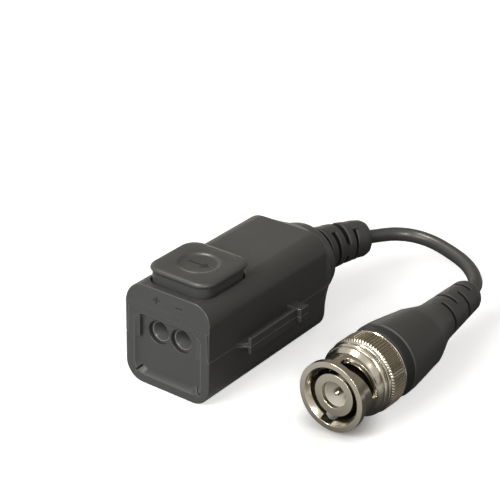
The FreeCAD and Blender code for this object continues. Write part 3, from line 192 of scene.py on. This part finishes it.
def surface_grain():
    """Fine moulding grain and a mottle twenty times coarser, on object coordinates."""
    group = bpy.data.node_groups.new("surface_grain", "ShaderNodeTree")
    group.interface.new_socket("Scale", in_out="INPUT", socket_type="NodeSocketFloat")
    group.interface.new_socket("Height", in_out="OUTPUT", socket_type="NodeSocketFloat")
    group.interface.new_socket("Mottle", in_out="OUTPUT", socket_type="NodeSocketFloat")
    entry = group.nodes.new("NodeGroupInput")
    leave = group.nodes.new("NodeGroupOutput")
    place = group.nodes.new("ShaderNodeTexCoord")
    fine = group.nodes.new("ShaderNodeTexNoise")
    slow = group.nodes.new("ShaderNodeTexNoise")
    fine.inputs["Detail"].default_value = 3
    slow.inputs["Detail"].default_value = 2
    group.links.new(entry.outputs["Scale"], fine.inputs["Scale"])
    group.links.new(math_node(group, "MULTIPLY", entry.outputs["Scale"], 0.05), slow.inputs["Scale"])
    for noise in (fine, slow):
        group.links.new(place.outputs["Object"], noise.inputs["Vector"])
    group.links.new(fine.outputs["Fac"], leave.inputs["Height"])
    group.links.new(slow.outputs["Fac"], leave.inputs["Mottle"])
    return group


grain = surface_grain()


def finish(name, colour, shade, smoothest, roughest, scale, depth, metal=0.0, specular=0.3):
    """Material with grain, whose colour runs between two tones and whose roughness varies a little."""
    material = bpy.data.materials.new(name)
    material.use_nodes = True
    tree = material.node_tree
    shader = tree.nodes["Principled BSDF"]
    shader.inputs["Metallic"].default_value = metal
    shader.inputs["Specular IOR Level"].default_value = specular
    surface = tree.nodes.new("ShaderNodeGroup")
    surface.node_tree = grain
    surface.inputs["Scale"].default_value = scale
    tone = tree.nodes.new("ShaderNodeMix")
    tone.data_type = "RGBA"
    tone.inputs["A"].default_value = (*colour, 1)
    tone.inputs["B"].default_value = (*shade, 1)
    rough = tree.nodes.new("ShaderNodeMapRange")
    rough.inputs["To Min"].default_value = smoothest
    rough.inputs["To Max"].default_value = roughest
    bump = tree.nodes.new("ShaderNodeBump")
    bump.inputs["Distance"].default_value = depth
    bump.inputs["Strength"].default_value = 0.6
    tree.links.new(surface.outputs["Mottle"], tone.inputs["Factor"])
    tree.links.new(surface.outputs["Mottle"], rough.inputs["Value"])
    tree.links.new(surface.outputs["Height"], bump.inputs["Height"])
    tree.links.new(tone.outputs["Result"], shader.inputs["Base Color"])
    tree.links.new(rough.outputs["Result"], shader.inputs["Roughness"])
    tree.links.new(bump.outputs["Normal"], shader.inputs["Normal"])
    return material


def object_axes(tree):
    """The x, y and z of a point on the object."""
    place = tree.nodes.new("ShaderNodeTexCoord")
    split = tree.nodes.new("ShaderNodeSeparateXYZ")
    tree.links.new(place.outputs["Object"], split.inputs[0])
    return split.outputs


soft_edge = 0.00006


def bar_mask(tree, across, along, centre, half):
    """1 inside a rectangle of the two coordinates, with soft edges."""
    sides = []
    for coordinate, middle, reach in zip((across, along), centre, half):
        offset = math_node(tree, "ABSOLUTE", math_node(tree, "SUBTRACT", coordinate, middle), 0)
        inside = math_node(tree, "SUBTRACT", reach, offset)
        sides.append(math_node(tree, "DIVIDE", inside, soft_edge, clamp=True))
    return math_node(tree, "MINIMUM", *sides)


def engrave(material, mask, depth, painted_shade):
    """Sink a mask into the surface and darken it with painted shade."""
    tree = material.node_tree
    shader = tree.nodes["Principled BSDF"]
    grain_bump = shader.inputs["Normal"].links[0].from_node
    cut = tree.nodes.new("ShaderNodeBump")
    cut.invert = True
    cut.inputs["Strength"].default_value = 1.0
    cut.inputs["Distance"].default_value = depth
    tree.links.new(mask, cut.inputs["Height"])
    tree.links.new(cut.outputs["Normal"], grain_bump.inputs["Normal"])
    dark = tree.nodes.new("ShaderNodeMix")
    dark.data_type = "RGBA"
    dark.inputs["B"].default_value = (*painted_shade, 1)
    tree.links.new(mask, dark.inputs["Factor"])
    tree.links.new(shader.inputs["Base Color"].links[0].from_socket, dark.inputs["A"])
    tree.links.new(dark.outputs["Result"], shader.inputs["Base Color"])


def merged(node):
    """A CAD piece's surface as whole faces."""
    bm = bmesh.new()
    bm.from_mesh(nodes[node].data)
    bmesh.ops.remove_doubles(bm, verts=bm.verts, dist=1e-6)
    bmesh.ops.dissolve_limit(bm, angle_limit=math.radians(0.5), verts=bm.verts, edges=bm.edges)
    return bm


def turns(edge, angle):
    """Whether the two faces of an edge turn by more than an angle in radians."""
    return len(edge.link_faces) == 2 and edge.calc_face_angle(0) > angle


def round_over(bm, edges, width, segments=4, material=-1):
    """Round these edges."""
    bmesh.ops.bevel(bm, geom=edges, offset=width, offset_type="OFFSET", affect="EDGES", segments=segments,
                    profile=0.5, material=material, clamp_overlap=False)


def ease(bm, width, angle=28, segments=2, material=-1, outer_only=False):
    """Round every edge that turns by more than an angle."""
    bm.normal_update()
    sharp = [edge for edge in bm.edges
             if turns(edge, math.radians(angle)) and (edge.is_convex or not outer_only)]
    round_over(bm, sharp, width, segments, material)


def finished(name, bm, material, body="box", replaces=(), smooth=50):
    """Turn a bmesh in metres into a smooth-shaded piece that rides on its body."""
    bmesh.ops.recalc_face_normals(bm, faces=bm.faces)
    for face in bm.faces:
        face.smooth = True
    for edge in bm.edges:
        edge.smooth = len(edge.link_faces) == 2 and edge.calc_face_angle(0) < math.radians(smooth)
    mesh = bpy.data.meshes.new(name)
    bm.to_mesh(mesh)
    bm.free()
    mesh.materials.append(material)
    piece = bpy.data.objects.new(name, mesh)
    scene.collection.objects.link(piece)
    even = piece.modifiers.new("even_shading", "WEIGHTED_NORMAL")
    even.keep_sharp = True
    if replaces:
        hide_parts(*replaces)
    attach(piece, body)
    return piece


satin_abs = ((0.06, 0.06, 0.0585), (0.052, 0.052, 0.0505), 0.34, 0.42, 2600, 0.00002)
dark_abs = finish("dark_abs", *satin_abs)
marked_abs = finish("marked_abs", *satin_abs)
# Lighter, glossier ABS for the eased edges: a painted highlight
painted_highlight_edge = finish("painted_highlight_edge", (0.1, 0.1, 0.0975), (0.085, 0.085, 0.083), 0.26, 0.34, 2600, 0.00001)
half_pitch, wire_height, sign_height = 0.00254, 0.0111, 0.0179
plus_arm, minus_arm, half_stroke = 0.00072, 0.00066, 0.00018
tree = marked_abs.node_tree
x, y, z = object_axes(tree)
plus_wide = bar_mask(tree, x, z, (-half_pitch, sign_height), (plus_arm, half_stroke))
plus_tall = bar_mask(tree, x, z, (-half_pitch, sign_height), (half_stroke, plus_arm))
minus = bar_mask(tree, x, z, (half_pitch, sign_height), (minus_arm, half_stroke))
signs = math_node(tree, "MAXIMUM", math_node(tree, "MAXIMUM", plus_wide, plus_tall), minus)
on_front = math_node(tree, "LESS_THAN", y, -0.017)
signs = math_node(tree, "MULTIPLY", signs, on_front)
# The engraved signs are darkened with painted shade
engrave(marked_abs, signs, 0.00015, (0.018, 0.018, 0.018))


def from_wire(point):
    """Offset of a point from the axis of the nearer wire entry."""
    return Vector((point.x - math.copysign(half_pitch, point.x), 0, point.z - wire_height))


# The front wall of the button's hole stands half a millimetre nearer to the face
wall_half_width, wall_front, wall_rear, wall_low = 0.0069, -0.0161, -0.0125, 0.0182
upper = merged("upper_housing")
for vert in upper.verts:
    if abs(vert.co.x) < wall_half_width and wall_front < vert.co.y < wall_rear and vert.co.z > wall_low:
        vert.co.y -= 0.0005

# The mouths of the two wire holes are rounded
hole_radius, hole_front = 0.0023, -0.0165
lower = merged("lower_housing")
mouths = [edge for edge in lower.edges if turns(edge, 1) and all(
    vert.co.y < hole_front and abs(from_wire(vert.co).length - hole_radius) < 0.00004 for vert in edge.verts)]
round_over(lower, mouths, 0.00018)

# So is the outer brim of the front. Every other outer edge is eased and takes a glossier finish in a lighter
# colour, the colour being a painted highlight.
front_middle = Vector((0, -0.0182, 0.01))
for node, bm, material in (("upper_housing", upper, marked_abs), ("lower_housing", lower, dark_abs)):
    brim = [edge for edge in bm.edges if turns(edge, 1)
            and all(vert.co.y < -0.01815 for vert in edge.verts)
            and any(face.normal.dot(edge.verts[0].co - front_middle) > 0.002 for face in edge.link_faces)]
    round_over(bm, brim, 0.0002)
    ease(bm, 0.00014, material=1, outer_only=True)
    shell = finished(node + "_shell", bm, material, replaces=(node,))
    shell.data.materials.append(painted_highlight_edge)

# Terminal block, contacts and clamp springs: black nylon block with tinned brass strips and bent spring
# steel. The block's two collars stand in the face's holes; the springs press the bare wires onto the strips.
black_nylon = finish("black_nylon", (0.1, 0.1, 0.097), (0.085, 0.085, 0.082), 0.26, 0.34, 1800, 0.00001)
# Light beige for the collars' rims: a painted highlight
painted_highlight_rim = finish("painted_highlight_rim", (0.3, 0.285, 0.25), (0.25, 0.24, 0.21), 0.2, 0.28, 1800, 0.000005)
tinned_brass = finish("tinned_brass", (0.62, 0.6, 0.55), (0.55, 0.53, 0.47), 0.3, 0.4, 900, 0.000004,
                      metal=1.0)
spring_steel = finish("spring_steel", (0.5, 0.5, 0.5), (0.4, 0.41, 0.42), 0.28, 0.36, 1200, 0.000004,
                      metal=1.0)

# The circles of each collar, in millimetres: radius, how much wider it gets and how far back it moves
collar_circles = ((1.95, 0, 0.7), (1.65, 0.19, 0.7), (1.51, 0.21, 0.27), (1.375, 0.245, 0))
collar_foot, collar_front, rim_place = -0.016, -0.0172, -0.01655
rim_inside, rim_outside = 0.0018, 0.002
bm = merged("terminal_block")
for vert in bm.verts:
    offset = from_wire(vert.co)
    if vert.co.y < collar_foot:
        for radius, wider, back in collar_circles:
            if abs(offset.length * 1000 - radius) < 0.03 and (wider or vert.co.y < collar_front):
                vert.co += offset.normalized() * wider * 0.001 + Vector((0, back * 0.001, 0))
ease(bm, 0.00004)
# The collars' rims take the light beige colour, a painted highlight
for face in bm.faces:
    middle = face.calc_center_median()
    if middle.y < rim_place and rim_inside < from_wire(middle).length < rim_outside:
        face.material_index = 1
block = finished("terminal_block_moulding", bm, black_nylon, replaces=("terminal_block",))
block.data.materials.append(painted_highlight_rim)

# The contacts take tinned brass, and the springs, which give way by the button's stroke of 1.5 mm as its
# prongs come down, are rebuilt with eased edges, each with a mesh of its own
for word in ("plus", "minus"):
    nodes["contact_" + word].material_slots[0].material = tinned_brass
    bm = merged("clamp_spring_" + word)
    ease(bm, 0.00004)
    strip = finished("clamp_strip_" + word, bm, spring_steel,
                     replaces=("clamp_spring_" + word,))
    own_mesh(strip)

# Circuit board and what stands on it: glass-epoxy board, ferrite ring with its two enamelled windings,
# a ceramic surge arrester and three chip parts, all soldered by hand or reflow inside the housing.
board_green = finish("board_green", (0.02, 0.13, 0.05), (0.015, 0.1, 0.045), 0.3, 0.4, 500, 0.000008)
ferrite = finish("ferrite", (0.06, 0.058, 0.06), (0.045, 0.044, 0.046), 0.55, 0.7, 1500, 0.00002)
chip_body = finish("chip_body", (0.2, 0.15, 0.1), (0.16, 0.12, 0.085), 0.4, 0.55, 1500, 0.00001)
white_ceramic = finish("white_ceramic", (0.7, 0.68, 0.66), (0.62, 0.6, 0.6), 0.3, 0.4, 700, 0.000006)
enamelled_wire = finish("enamelled_wire", (0.45, 0.14, 0.04), (0.36, 0.1, 0.03), 0.25, 0.35, 600, 0.00001,
                        metal=1.0)
for node, material in (
    ("circuit_board", board_green), ("transformer_core", ferrite), ("pair_winding", enamelled_wire),
    ("coax_winding", enamelled_wire), ("surge_arrester", white_ceramic), ("coupling_capacitor", chip_body),
    ("balance_resistor", chip_body), ("match_resistor", chip_body), ("core_lead", tinned_brass),
    ("shield_lead", tinned_brass),
):
    nodes[node].material_slots[0].material = material

# Push button: one moulding of the same ABS, a square cap with a round thumb dish over a hollow skirt.
# Two hooks keep it in its hole, and two prongs under it open the clamp springs. Its sizes are in millimetres.
cap_middle = -9.0
cap_axis = cap_middle * 0.001
arrow_tip, head_back, head_slope, arrow_low = 0.0025, 0.0008, 0.7, 0.0218
shaft_middle, shaft_half_length, shaft_half_width = -0.0007, 0.0016, 0.00027
button_abs = finish("button_abs", *satin_abs)
tree = button_abs.node_tree
x, y, z = object_axes(tree)
shaft = bar_mask(tree, x, y, (shaft_middle, cap_axis), (shaft_half_length, shaft_half_width))
spread = math_node(tree, "MULTIPLY", math_node(tree, "SUBTRACT", arrow_tip, x), head_slope)
aside = math_node(tree, "ABSOLUTE", math_node(tree, "SUBTRACT", y, cap_axis), 0)
head = math_node(tree, "DIVIDE", math_node(tree, "SUBTRACT", spread, aside), soft_edge, clamp=True)
head = math_node(tree, "MULTIPLY", head, math_node(tree, "GREATER_THAN", x, head_back))
on_top = math_node(tree, "GREATER_THAN", z, arrow_low)
arrow = math_node(tree, "MULTIPLY", math_node(tree, "MAXIMUM", shaft, head), on_top)
# The engraved arrow is darkened with painted shade
engrave(button_abs, arrow, 0.0002, (0.014, 0.014, 0.014))


def reach(angle, half_x, half_y, corner):
    """Distance from the middle of a rounded rectangle to its outline."""
    along, across = abs(math.cos(angle)), abs(math.sin(angle))
    if along > 1e-9 and half_x / along * across <= half_y - corner:
        return half_x / along
    if across > 1e-9 and half_y / across * along <= half_x - corner:
        return half_y / across
    x, y = half_x - corner, half_y - corner
    middle = x * along + y * across
    return middle + math.sqrt(max(middle ** 2 - x * x - y * y + corner ** 2, 0))


def extruded(bm, edges):
    """Pull a wall out of a ring of edges; the new ring's vertices and edges."""
    made = bmesh.ops.extrude_edge_only(bm, edges=edges)["geom"]
    verts = [item for item in made if isinstance(item, bmesh.types.BMVert)]
    ring = set(verts)
    edges = [item for item in made if isinstance(item, bmesh.types.BMEdge) and ring.issuperset(item.verts)]
    return verts, edges


def stacked(bm, rings, centre, count):
    """Closed form through rounded rectangles (height, half width, half depth, corner)."""
    verts = bmesh.ops.create_circle(bm, cap_ends=False, segments=count, radius=1)["verts"]
    edges = [edge for edge in bm.edges if edge.is_wire]
    every, ends = [], [edges]
    for index, (height, half_x, half_y, corner) in enumerate(rings):
        if index:
            verts, edges = extruded(bm, edges)
        for vert in verts:
            angle = math.atan2(vert.co.y, vert.co.x)
            radius = reach(angle, half_x, half_y, corner)
            vert.co = (radius * math.cos(angle), radius * math.sin(angle), height)
        every += verts
    ends.append(edges)
    for loop in ends:
        bmesh.ops.edgeloop_fill(bm, edges=loop)
    bmesh.ops.translate(bm, vec=(*centre, 0), verts=every)


bm = bmesh.new()
skirt_low = 17.28
stacked(bm, [
    (21.5, 1.0, 1.0, 1.0), (21.5, 5.25, 5.15, 1.9), (skirt_low, 5.25, 5.15, 1.9),
    (skirt_low, 6.35, 6.25, 2.35), (skirt_low + 0.1, 6.45, 6.35, 2.45), (21.5, 6.45, 6.35, 2.45),
    (21.72, 6.5, 6.4, 2.5), (21.84, 6.64, 6.54, 2.64), (21.9, 6.86, 6.76, 2.86), (21.98, 7.0, 6.9, 3.0),
    (22.1, 7.08, 6.98, 3.08), (22.22, 7.1, 7.0, 3.1), (22.34, 7.08, 6.98, 3.08), (22.46, 7.0, 6.9, 3.0),
    (22.56, 6.86, 6.76, 2.86), (22.64, 6.66, 6.56, 2.66), (22.69, 6.4, 6.3, 2.5), (22.72, 6.0, 5.9, 2.7),
    (22.74, 5.2, 5.1, 3.4), (22.75, 4.3, 4.3, 4.3), (22.735, 4.05, 4.05, 4.05), (22.69, 3.86, 3.86, 3.86),
    (22.61, 3.7, 3.7, 3.7), (22.52, 3.56, 3.56, 3.56), (22.46, 3.38, 3.38, 3.38), (22.43, 3.1, 3.1, 3.1),
    (22.41, 2.2, 2.2, 2.2), (22.4, 1.0, 1.0, 1.0),
], (0, cap_middle), count=128)
# The skirt's front stands nearer to the face, as the wall of its hole does
for vert in bm.verts:
    if vert.co.z < 21.6 and vert.co.y < cap_middle - 3.5:
        vert.co.y -= 0.45
for hook_middle in (-15.42, -2.58):
    stacked(bm, [
        (skirt_low, 3.4, 0.45, 0.1), (skirt_low + 0.15, 3.55, 0.62, 0.15),
        (skirt_low + 0.85, 3.55, 0.62, 0.15), (skirt_low + 1.0, 3.4, 0.5, 0.1),
    ], (0, hook_middle), count=48)
for side in (-1, 1):
    stacked(bm, [(14.85, 0.85, 0.75, 0.15), (15.0, 1.0, 0.9, 0.2), (22.15, 1.0, 0.9, 0.2)],
            (2.54 * side, cap_middle), count=32)
bmesh.ops.scale(bm, vec=(0.001, 0.001, 0.001), verts=bm.verts)
finished("push_button_cap", bm, button_abs, body="button", replaces=("push_button",), smooth=40)

# Strain relief of the box: black flexible PVC moulded over the lead. A flange inside the housing holds it,
# and behind its cone the bent tail has ribs with a slot between each pair, open by turns above and beside.
# Its sizes are in millimetres, and the walls inside the slots are darker with painted shade.
flexible_pvc = finish("flexible_pvc", (0.052, 0.052, 0.05), (0.044, 0.044, 0.043), 0.42, 0.52, 2200, 0.000015)
# Near-black PVC for the slot walls and the boot's neck: painted shade
painted_shade_pvc = finish("painted_shade_pvc", (0.014, 0.014, 0.014), (0.011, 0.011, 0.011), 0.5, 0.6, 1500, 0.00001)
bore = 1.42


def lathed(profile, steps=96, width=0.0, angle=28):
    """Turned form about the Y axis from a closed profile of (along, radius) pairs, with eased edges."""
    bm = bmesh.new()
    dots = [bm.verts.new((radius, along, 0)) for along, radius in profile]
    lines = [bm.edges.new(pair) for pair in zip(dots, dots[1:] + dots[:1])]
    bmesh.ops.spin(bm, geom=dots + lines, axis=(0, 1, 0), cent=(0, 0, 0), steps=steps, angle=math.tau,
                   use_merge=True)
    bmesh.ops.remove_doubles(bm, verts=bm.verts, dist=1e-5)
    bmesh.ops.recalc_face_normals(bm, faces=bm.faces)
    if width:
        ease(bm, width, angle, segments=3)
    return bm


def join(whole, part, place):
    """Add one mesh to another at a placement."""
    part.transform(place)
    mesh = bpy.data.meshes.new("part")
    part.to_mesh(mesh)
    part.free()
    whole.from_mesh(mesh)
    bpy.data.meshes.remove(mesh)


def bent(straight, arc, turn, along):
    """Placement on an axis that runs straight along Y, turns by an arc and runs straight on."""
    done = min(max(along - straight, 0), arc)
    turned = math.radians(turn) * done / arc
    radius = arc / math.radians(turn)
    base = Vector((radius * (1 - math.cos(turned)), straight + radius * math.sin(turned), 0))
    base += Vector((math.sin(turned), math.cos(turned), 0)) * (along - straight - done)
    return Matrix.Translation(base) @ Matrix.Rotation(-turned, 4, "Z")


def ribbed_tail(axis, start, end, slots, gap, radius, webs):
    """Ribs with rounded edges on a bent axis, and the webs between them that stand and lie by turns.

    Each web is a direction and half its thickness. The walls inside the slots take the second material, a
    painted shade."""
    whole = bmesh.new()
    borders = [start] + [place for slot in slots for place in (slot - gap / 2, slot + gap / 2)] + [end]
    for low, high in zip(borders[0::2], borders[1::2]):
        if high == end:
            middle = end
            profile = [(low, bore), (low, radius(low) - 0.01), (high - 1.5, radius(high - 1.5)),
                       (high - 0.9, radius(high) - 0.12), (high - 0.4, radius(high) - 0.42),
                       (high - 0.1, radius(high) - 0.85), (high, radius(high) - 1.4), (high, bore)]
        else:
            middle = (low + high) / 2
            profile = [(low, bore), (low, radius(low)), (high, radius(high)), (high, bore)]
        rounding = 0.22 if gap > 1 else 0.13
        rib = lathed([(along - middle, size) for along, size in profile], steps=72, width=rounding)
        for face in rib.faces:
            along = face.calc_center_median().y + middle
            if abs(face.normal.y) > 0.99 and any(abs(along - slot) < gap / 2 + 0.01 for slot in slots):
                face.material_index = 1
        join(whole, rib, axis(middle))
    half_length = gap / 2 + 0.25
    for index, slot in enumerate(slots):
        outer = radius(slot) - 0.04
        web = lathed([(-half_length, bore), (-half_length, outer), (half_length, outer), (half_length, bore)],
                     steps=72)
        across, half = webs[index % 2]
        for side in (1, -1):
            bmesh.ops.bisect_plane(web, geom=web.verts[:] + web.edges[:] + web.faces[:],
                                   plane_co=across * side * half, plane_no=across * side, clear_outer=True)
        bmesh.ops.holes_fill(web, edges=[edge for edge in web.edges if edge.is_boundary])
        bmesh.ops.recalc_face_normals(web, faces=web.faces)
        for face in web.faces:
            aside = abs(face.calc_center_median().dot(across))
            if abs(face.normal.dot(across)) > 0.9 and abs(aside - half) < 0.01:
                face.material_index = 1
        join(whole, web, axis(slot))
    return whole


def relief_axis(along):
    """Placement on the relief's tail, which bends towards the lead over its whole length."""
    return bent(0, tail_length, tail_turn, along)


def relief_radius(along):
    """Radius of the relief's tail, which tapers from 5.05 to 3.6 mm."""
    return 5.05 - 1.45 * along / tail_length


upright, sideways = Vector((0, 0, 1)), Vector((1, 0, 0))
exit_height, tail_start, tail_length, tail_turn, droop = 10.2, 25.2, 16.3, 29.5, -2.2
whole = bmesh.new()
cone = lathed([(15.2, bore), (15.2, 5.1), (16.8, 5.1), (16.8, 4.2), (21.8, 4.2), (21.8, 8.15), (24.0, 7.55),
               (tail_start, 7.1), (tail_start, bore)], width=0.18, angle=12)
join(whole, cone, Matrix.Translation((0, 0, exit_height)))
tail = ribbed_tail(relief_axis, start=-0.3, end=tail_length, slots=(3.0, 6.0, 9.0, 12.0), gap=1.3,
                   radius=relief_radius, webs=((upright, 1.1), (sideways, 1.9)))
join(whole, tail, Matrix.Translation((0, tail_start, exit_height - 0.038))
     @ Matrix.Rotation(math.radians(droop), 4, "X"))
bmesh.ops.scale(whole, vec=(0.001, 0.001, 0.001), verts=whole.verts)
relief = finished("strain_relief_moulding", whole, flexible_pvc, replaces=("strain_relief",))
relief.data.materials.append(painted_shade_pvc)

# Lead: one round coax cable in a smooth, dark extruded PVC jacket. Both strain reliefs are moulded over
# its ends, and it lies in one bend between them.
cable_pvc = finish("cable_pvc", (0.058, 0.058, 0.056), (0.049, 0.049, 0.047), 0.3, 0.4, 1500, 0.000006,
                   specular=0.4)
route = [(4.104, 40.777, 9.563), (5.532, 43.3, 9.466), (7.6, 46.4, 9.3), (10.9, 48.55, 9.05),
         (15.2, 48.9, 8.8), (20.0, 47.55, 8.55), (24.6, 45.7, 8.25), (28.3, 42.7, 7.85),
         (30.41, 39.662, 7.27), (30.531, 36.764, 7.27)]
lead_curve = bpy.data.curves.new("lead", "CURVE")
lead_curve.dimensions = "3D"
line = lead_curve.splines.new("NURBS")
line.points.add(len(route) - 1)
for point, place in zip(line.points, route):
    point.co = (*(Vector(place) * 0.001), 1)
line.order_u = 3
line.use_endpoint_u = True
line.resolution_u = 12
lead_curve.bevel_depth = 0.0014
lead_curve.bevel_resolution = 8
lead_curve.materials.append(cable_pvc)
lead = bpy.data.objects.new("lead", lead_curve)
scene.collection.objects.link(lead)
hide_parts("cable")
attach(lead, "box")
nodes["cable_tail"].material_slots[0].material = cable_pvc
nodes["plug_cable_end"].material_slots[0].material = cable_pvc

# Plug: nickel-plated brass, turned and milled. The coupling nut turns freely on the shell and pulls it onto
# a jack with its two bayonet slots; a straight knurl gives the grip. Its sizes are in millimetres.
plug_place = Matrix.Translation((30.5, -11.2, 7.27)) @ Matrix.Rotation(math.radians(-2.1), 4, "Z")
to_metres = Matrix.Scale(0.001, 4)
nickel = finish("nickel", (0.45, 0.415, 0.345), (0.39, 0.355, 0.29), 0.15, 0.23, 900, 0.000003, metal=1.0,
                specular=0.5)


def to_radius(vert, radius):
    """Move a point to a distance from the Y axis."""
    scale = radius / math.hypot(vert.co.x, vert.co.z)
    vert.co.x *= scale
    vert.co.z *= scale


# The slots stand a little further back, and the grip is narrower under its knurl and beads
slot_front, slot_rear, slot_shift, barrel_inside = 1.35, 5.65, 0.9, 4.8
grip_front, grip_inside, bead_seat, knurl_seat, knurl_front = 6.5, 6.5, 6.55, 6.8, 8.95
bm = merged("coupling_nut")
bm.transform((to_metres @ plug_place).inverted())
for vert in bm.verts:
    radius = math.hypot(vert.co.x, vert.co.z)
    if slot_front < vert.co.y < slot_rear and radius > barrel_inside:
        vert.co.y += slot_shift * math.sin(math.pi * (vert.co.y - slot_front) / (slot_rear - slot_front))
    if radius > grip_inside and vert.co.y > grip_front:
        to_radius(vert, bead_seat if vert.co.y < knurl_front and radius < 7.1 else knurl_seat)
ease(bm, 0.1, angle=30, segments=3)
bead_foot = 6.3
for along, crest, half in ((7.5, 6.93, 0.5), (8.45, 6.98, 0.36), (13.1, 7.06, 0.22)):
    bead = lathed([(along - half, bead_foot), (along - half, crest - 0.3), (along - half * 0.6, crest - 0.08),
                   (along, crest), (along + half * 0.6, crest - 0.08), (along + half, crest - 0.3),
                   (along + half, bead_foot)])
    join(bm, bead, Matrix())

# The knurl is a ring of square teeth that run out at both ends
teeth, tooth_radius, groove_radius, end_radius = 76, 7.2, 6.96, 6.78
knurl = bmesh.new()
upended = Matrix.Translation((0, knurl_front, 0)) @ Matrix.Rotation(math.pi / 2, 4, "X")
first_ring = bmesh.ops.create_circle(knurl, cap_ends=False, segments=teeth * 4, radius=tooth_radius,
                                     matrix=upended)["verts"]
for index, vert in enumerate(first_ring):
    to_radius(vert, tooth_radius if index % 4 in (0, 1) else groove_radius)
edges = knurl.edges[:]
for length in (0.25, 3.45, 0.25):
    verts, edges = extruded(knurl, edges)
    bmesh.ops.translate(knurl, vec=(0, length, 0), verts=verts)
for vert in first_ring + verts:
    to_radius(vert, end_radius)
join(bm, knurl, Matrix())
bm.transform(to_metres @ plug_place)
finished("coupling_nut_turned", bm, nickel, body="coupling", replaces=("coupling_nut",), smooth=35)
for node, width in (("plug_shell", 0.00015), ("centre_pin", 0.00012), ("retaining_ring", 0.00006)):
    bm = merged(node)
    ease(bm, width, angle=20, segments=3)
    finished(node + "_turned", bm, nickel, replaces=(node,))

# Inside the plug: a white moulded insulator round the pin, a black rubber seal, the spring washer between
# nut and shell, and the ferrule that is crimped over the cable
insulator_white = finish("insulator_white", (0.62, 0.59, 0.53), (0.55, 0.52, 0.46), 0.4, 0.5, 700, 0.000006)
seal_rubber = finish("seal_rubber", (0.02, 0.02, 0.02), (0.015, 0.015, 0.015), 0.6, 0.75, 1500, 0.00001)
lining = lathed([(1.7, 2.48), (1.7, 2.36), (4.9, 1.95), (5.2, 1.7), (5.2, 0.7), (12.3, 0.7), (12.3, 2.48)],
                width=0.05)
lining.transform(to_metres @ plug_place)
finished("pin_insulator_moulding", lining, insulator_white, replaces=("pin_insulator",))
nodes["seal_ring"].material_slots[0].material = seal_rubber
nodes["spring_washer"].material_slots[0].material = spring_steel
nodes["crimp_ferrule"].material_slots[0].material = tinned_brass

# Boot of the plug: the same black PVC, moulded over the shell's rear and the ferrule. A narrow neck faces the
# nut, a long taper follows, and the ribbed tail leans towards the lead. Its sizes are in millimetres.


def boot_axis(along):
    """Placement on the boot's axis, which bends a little before its tail."""
    return bent(25.0, 2.0, -4.5, along)


def slotted_axis(along):
    """The same, turned about itself as the slots are."""
    return boot_axis(along) @ Matrix.Rotation(math.radians(-20), 4, "Y")


def boot_radius(along):
    """Radius of the boot's tail, which tapers by 1 mm in 15."""
    return 4.15 - 1.0 * (along - 33) / 15


whole = lathed([
    (13.6, 3.35), (13.6, 6.7), (13.75, 6.88), (14.1, 6.93), (15.84, 6.95), (15.9, 7.05), (15.94, 7.14),
    (16.0, 7.19), (16.1, 7.21), (18.0, 7.12), (20.0, 6.88), (22.0, 6.62), (24.0, 6.34), (25.0, 6.2),
    (26.3, 6.06), (26.5, 6.01), (27.5, 5.71), (28.5, 5.41), (29.5, 5.1), (30.5, 4.79), (31.1, 4.61),
    (31.4, 4.53), (32.2, 4.35), (33.3, 4.15), (33.3, 3.35),
], steps=128)
for vert in whole.verts:
    vert.co = boot_axis(vert.co.y) @ Vector((vert.co.x, 0, vert.co.z))
tail = ribbed_tail(slotted_axis, start=32.9, end=48.0, slots=(35.0, 38.17, 41.34, 44.51), gap=0.8,
                   radius=boot_radius, webs=((sideways, 1.9), (upright, 1.9)))
join(whole, tail, Matrix())
# The neck that faces the nut takes the same near-black PVC: painted shade
neck_end = 15.85
for face in whole.faces:
    if face.calc_center_median().y < neck_end:
        face.material_index = 1
whole.transform(to_metres @ plug_place)
boot = finished("plug_boot_moulding", whole, flexible_pvc, replaces=("plug_boot",))
boot.data.materials.append(painted_shade_pvc)
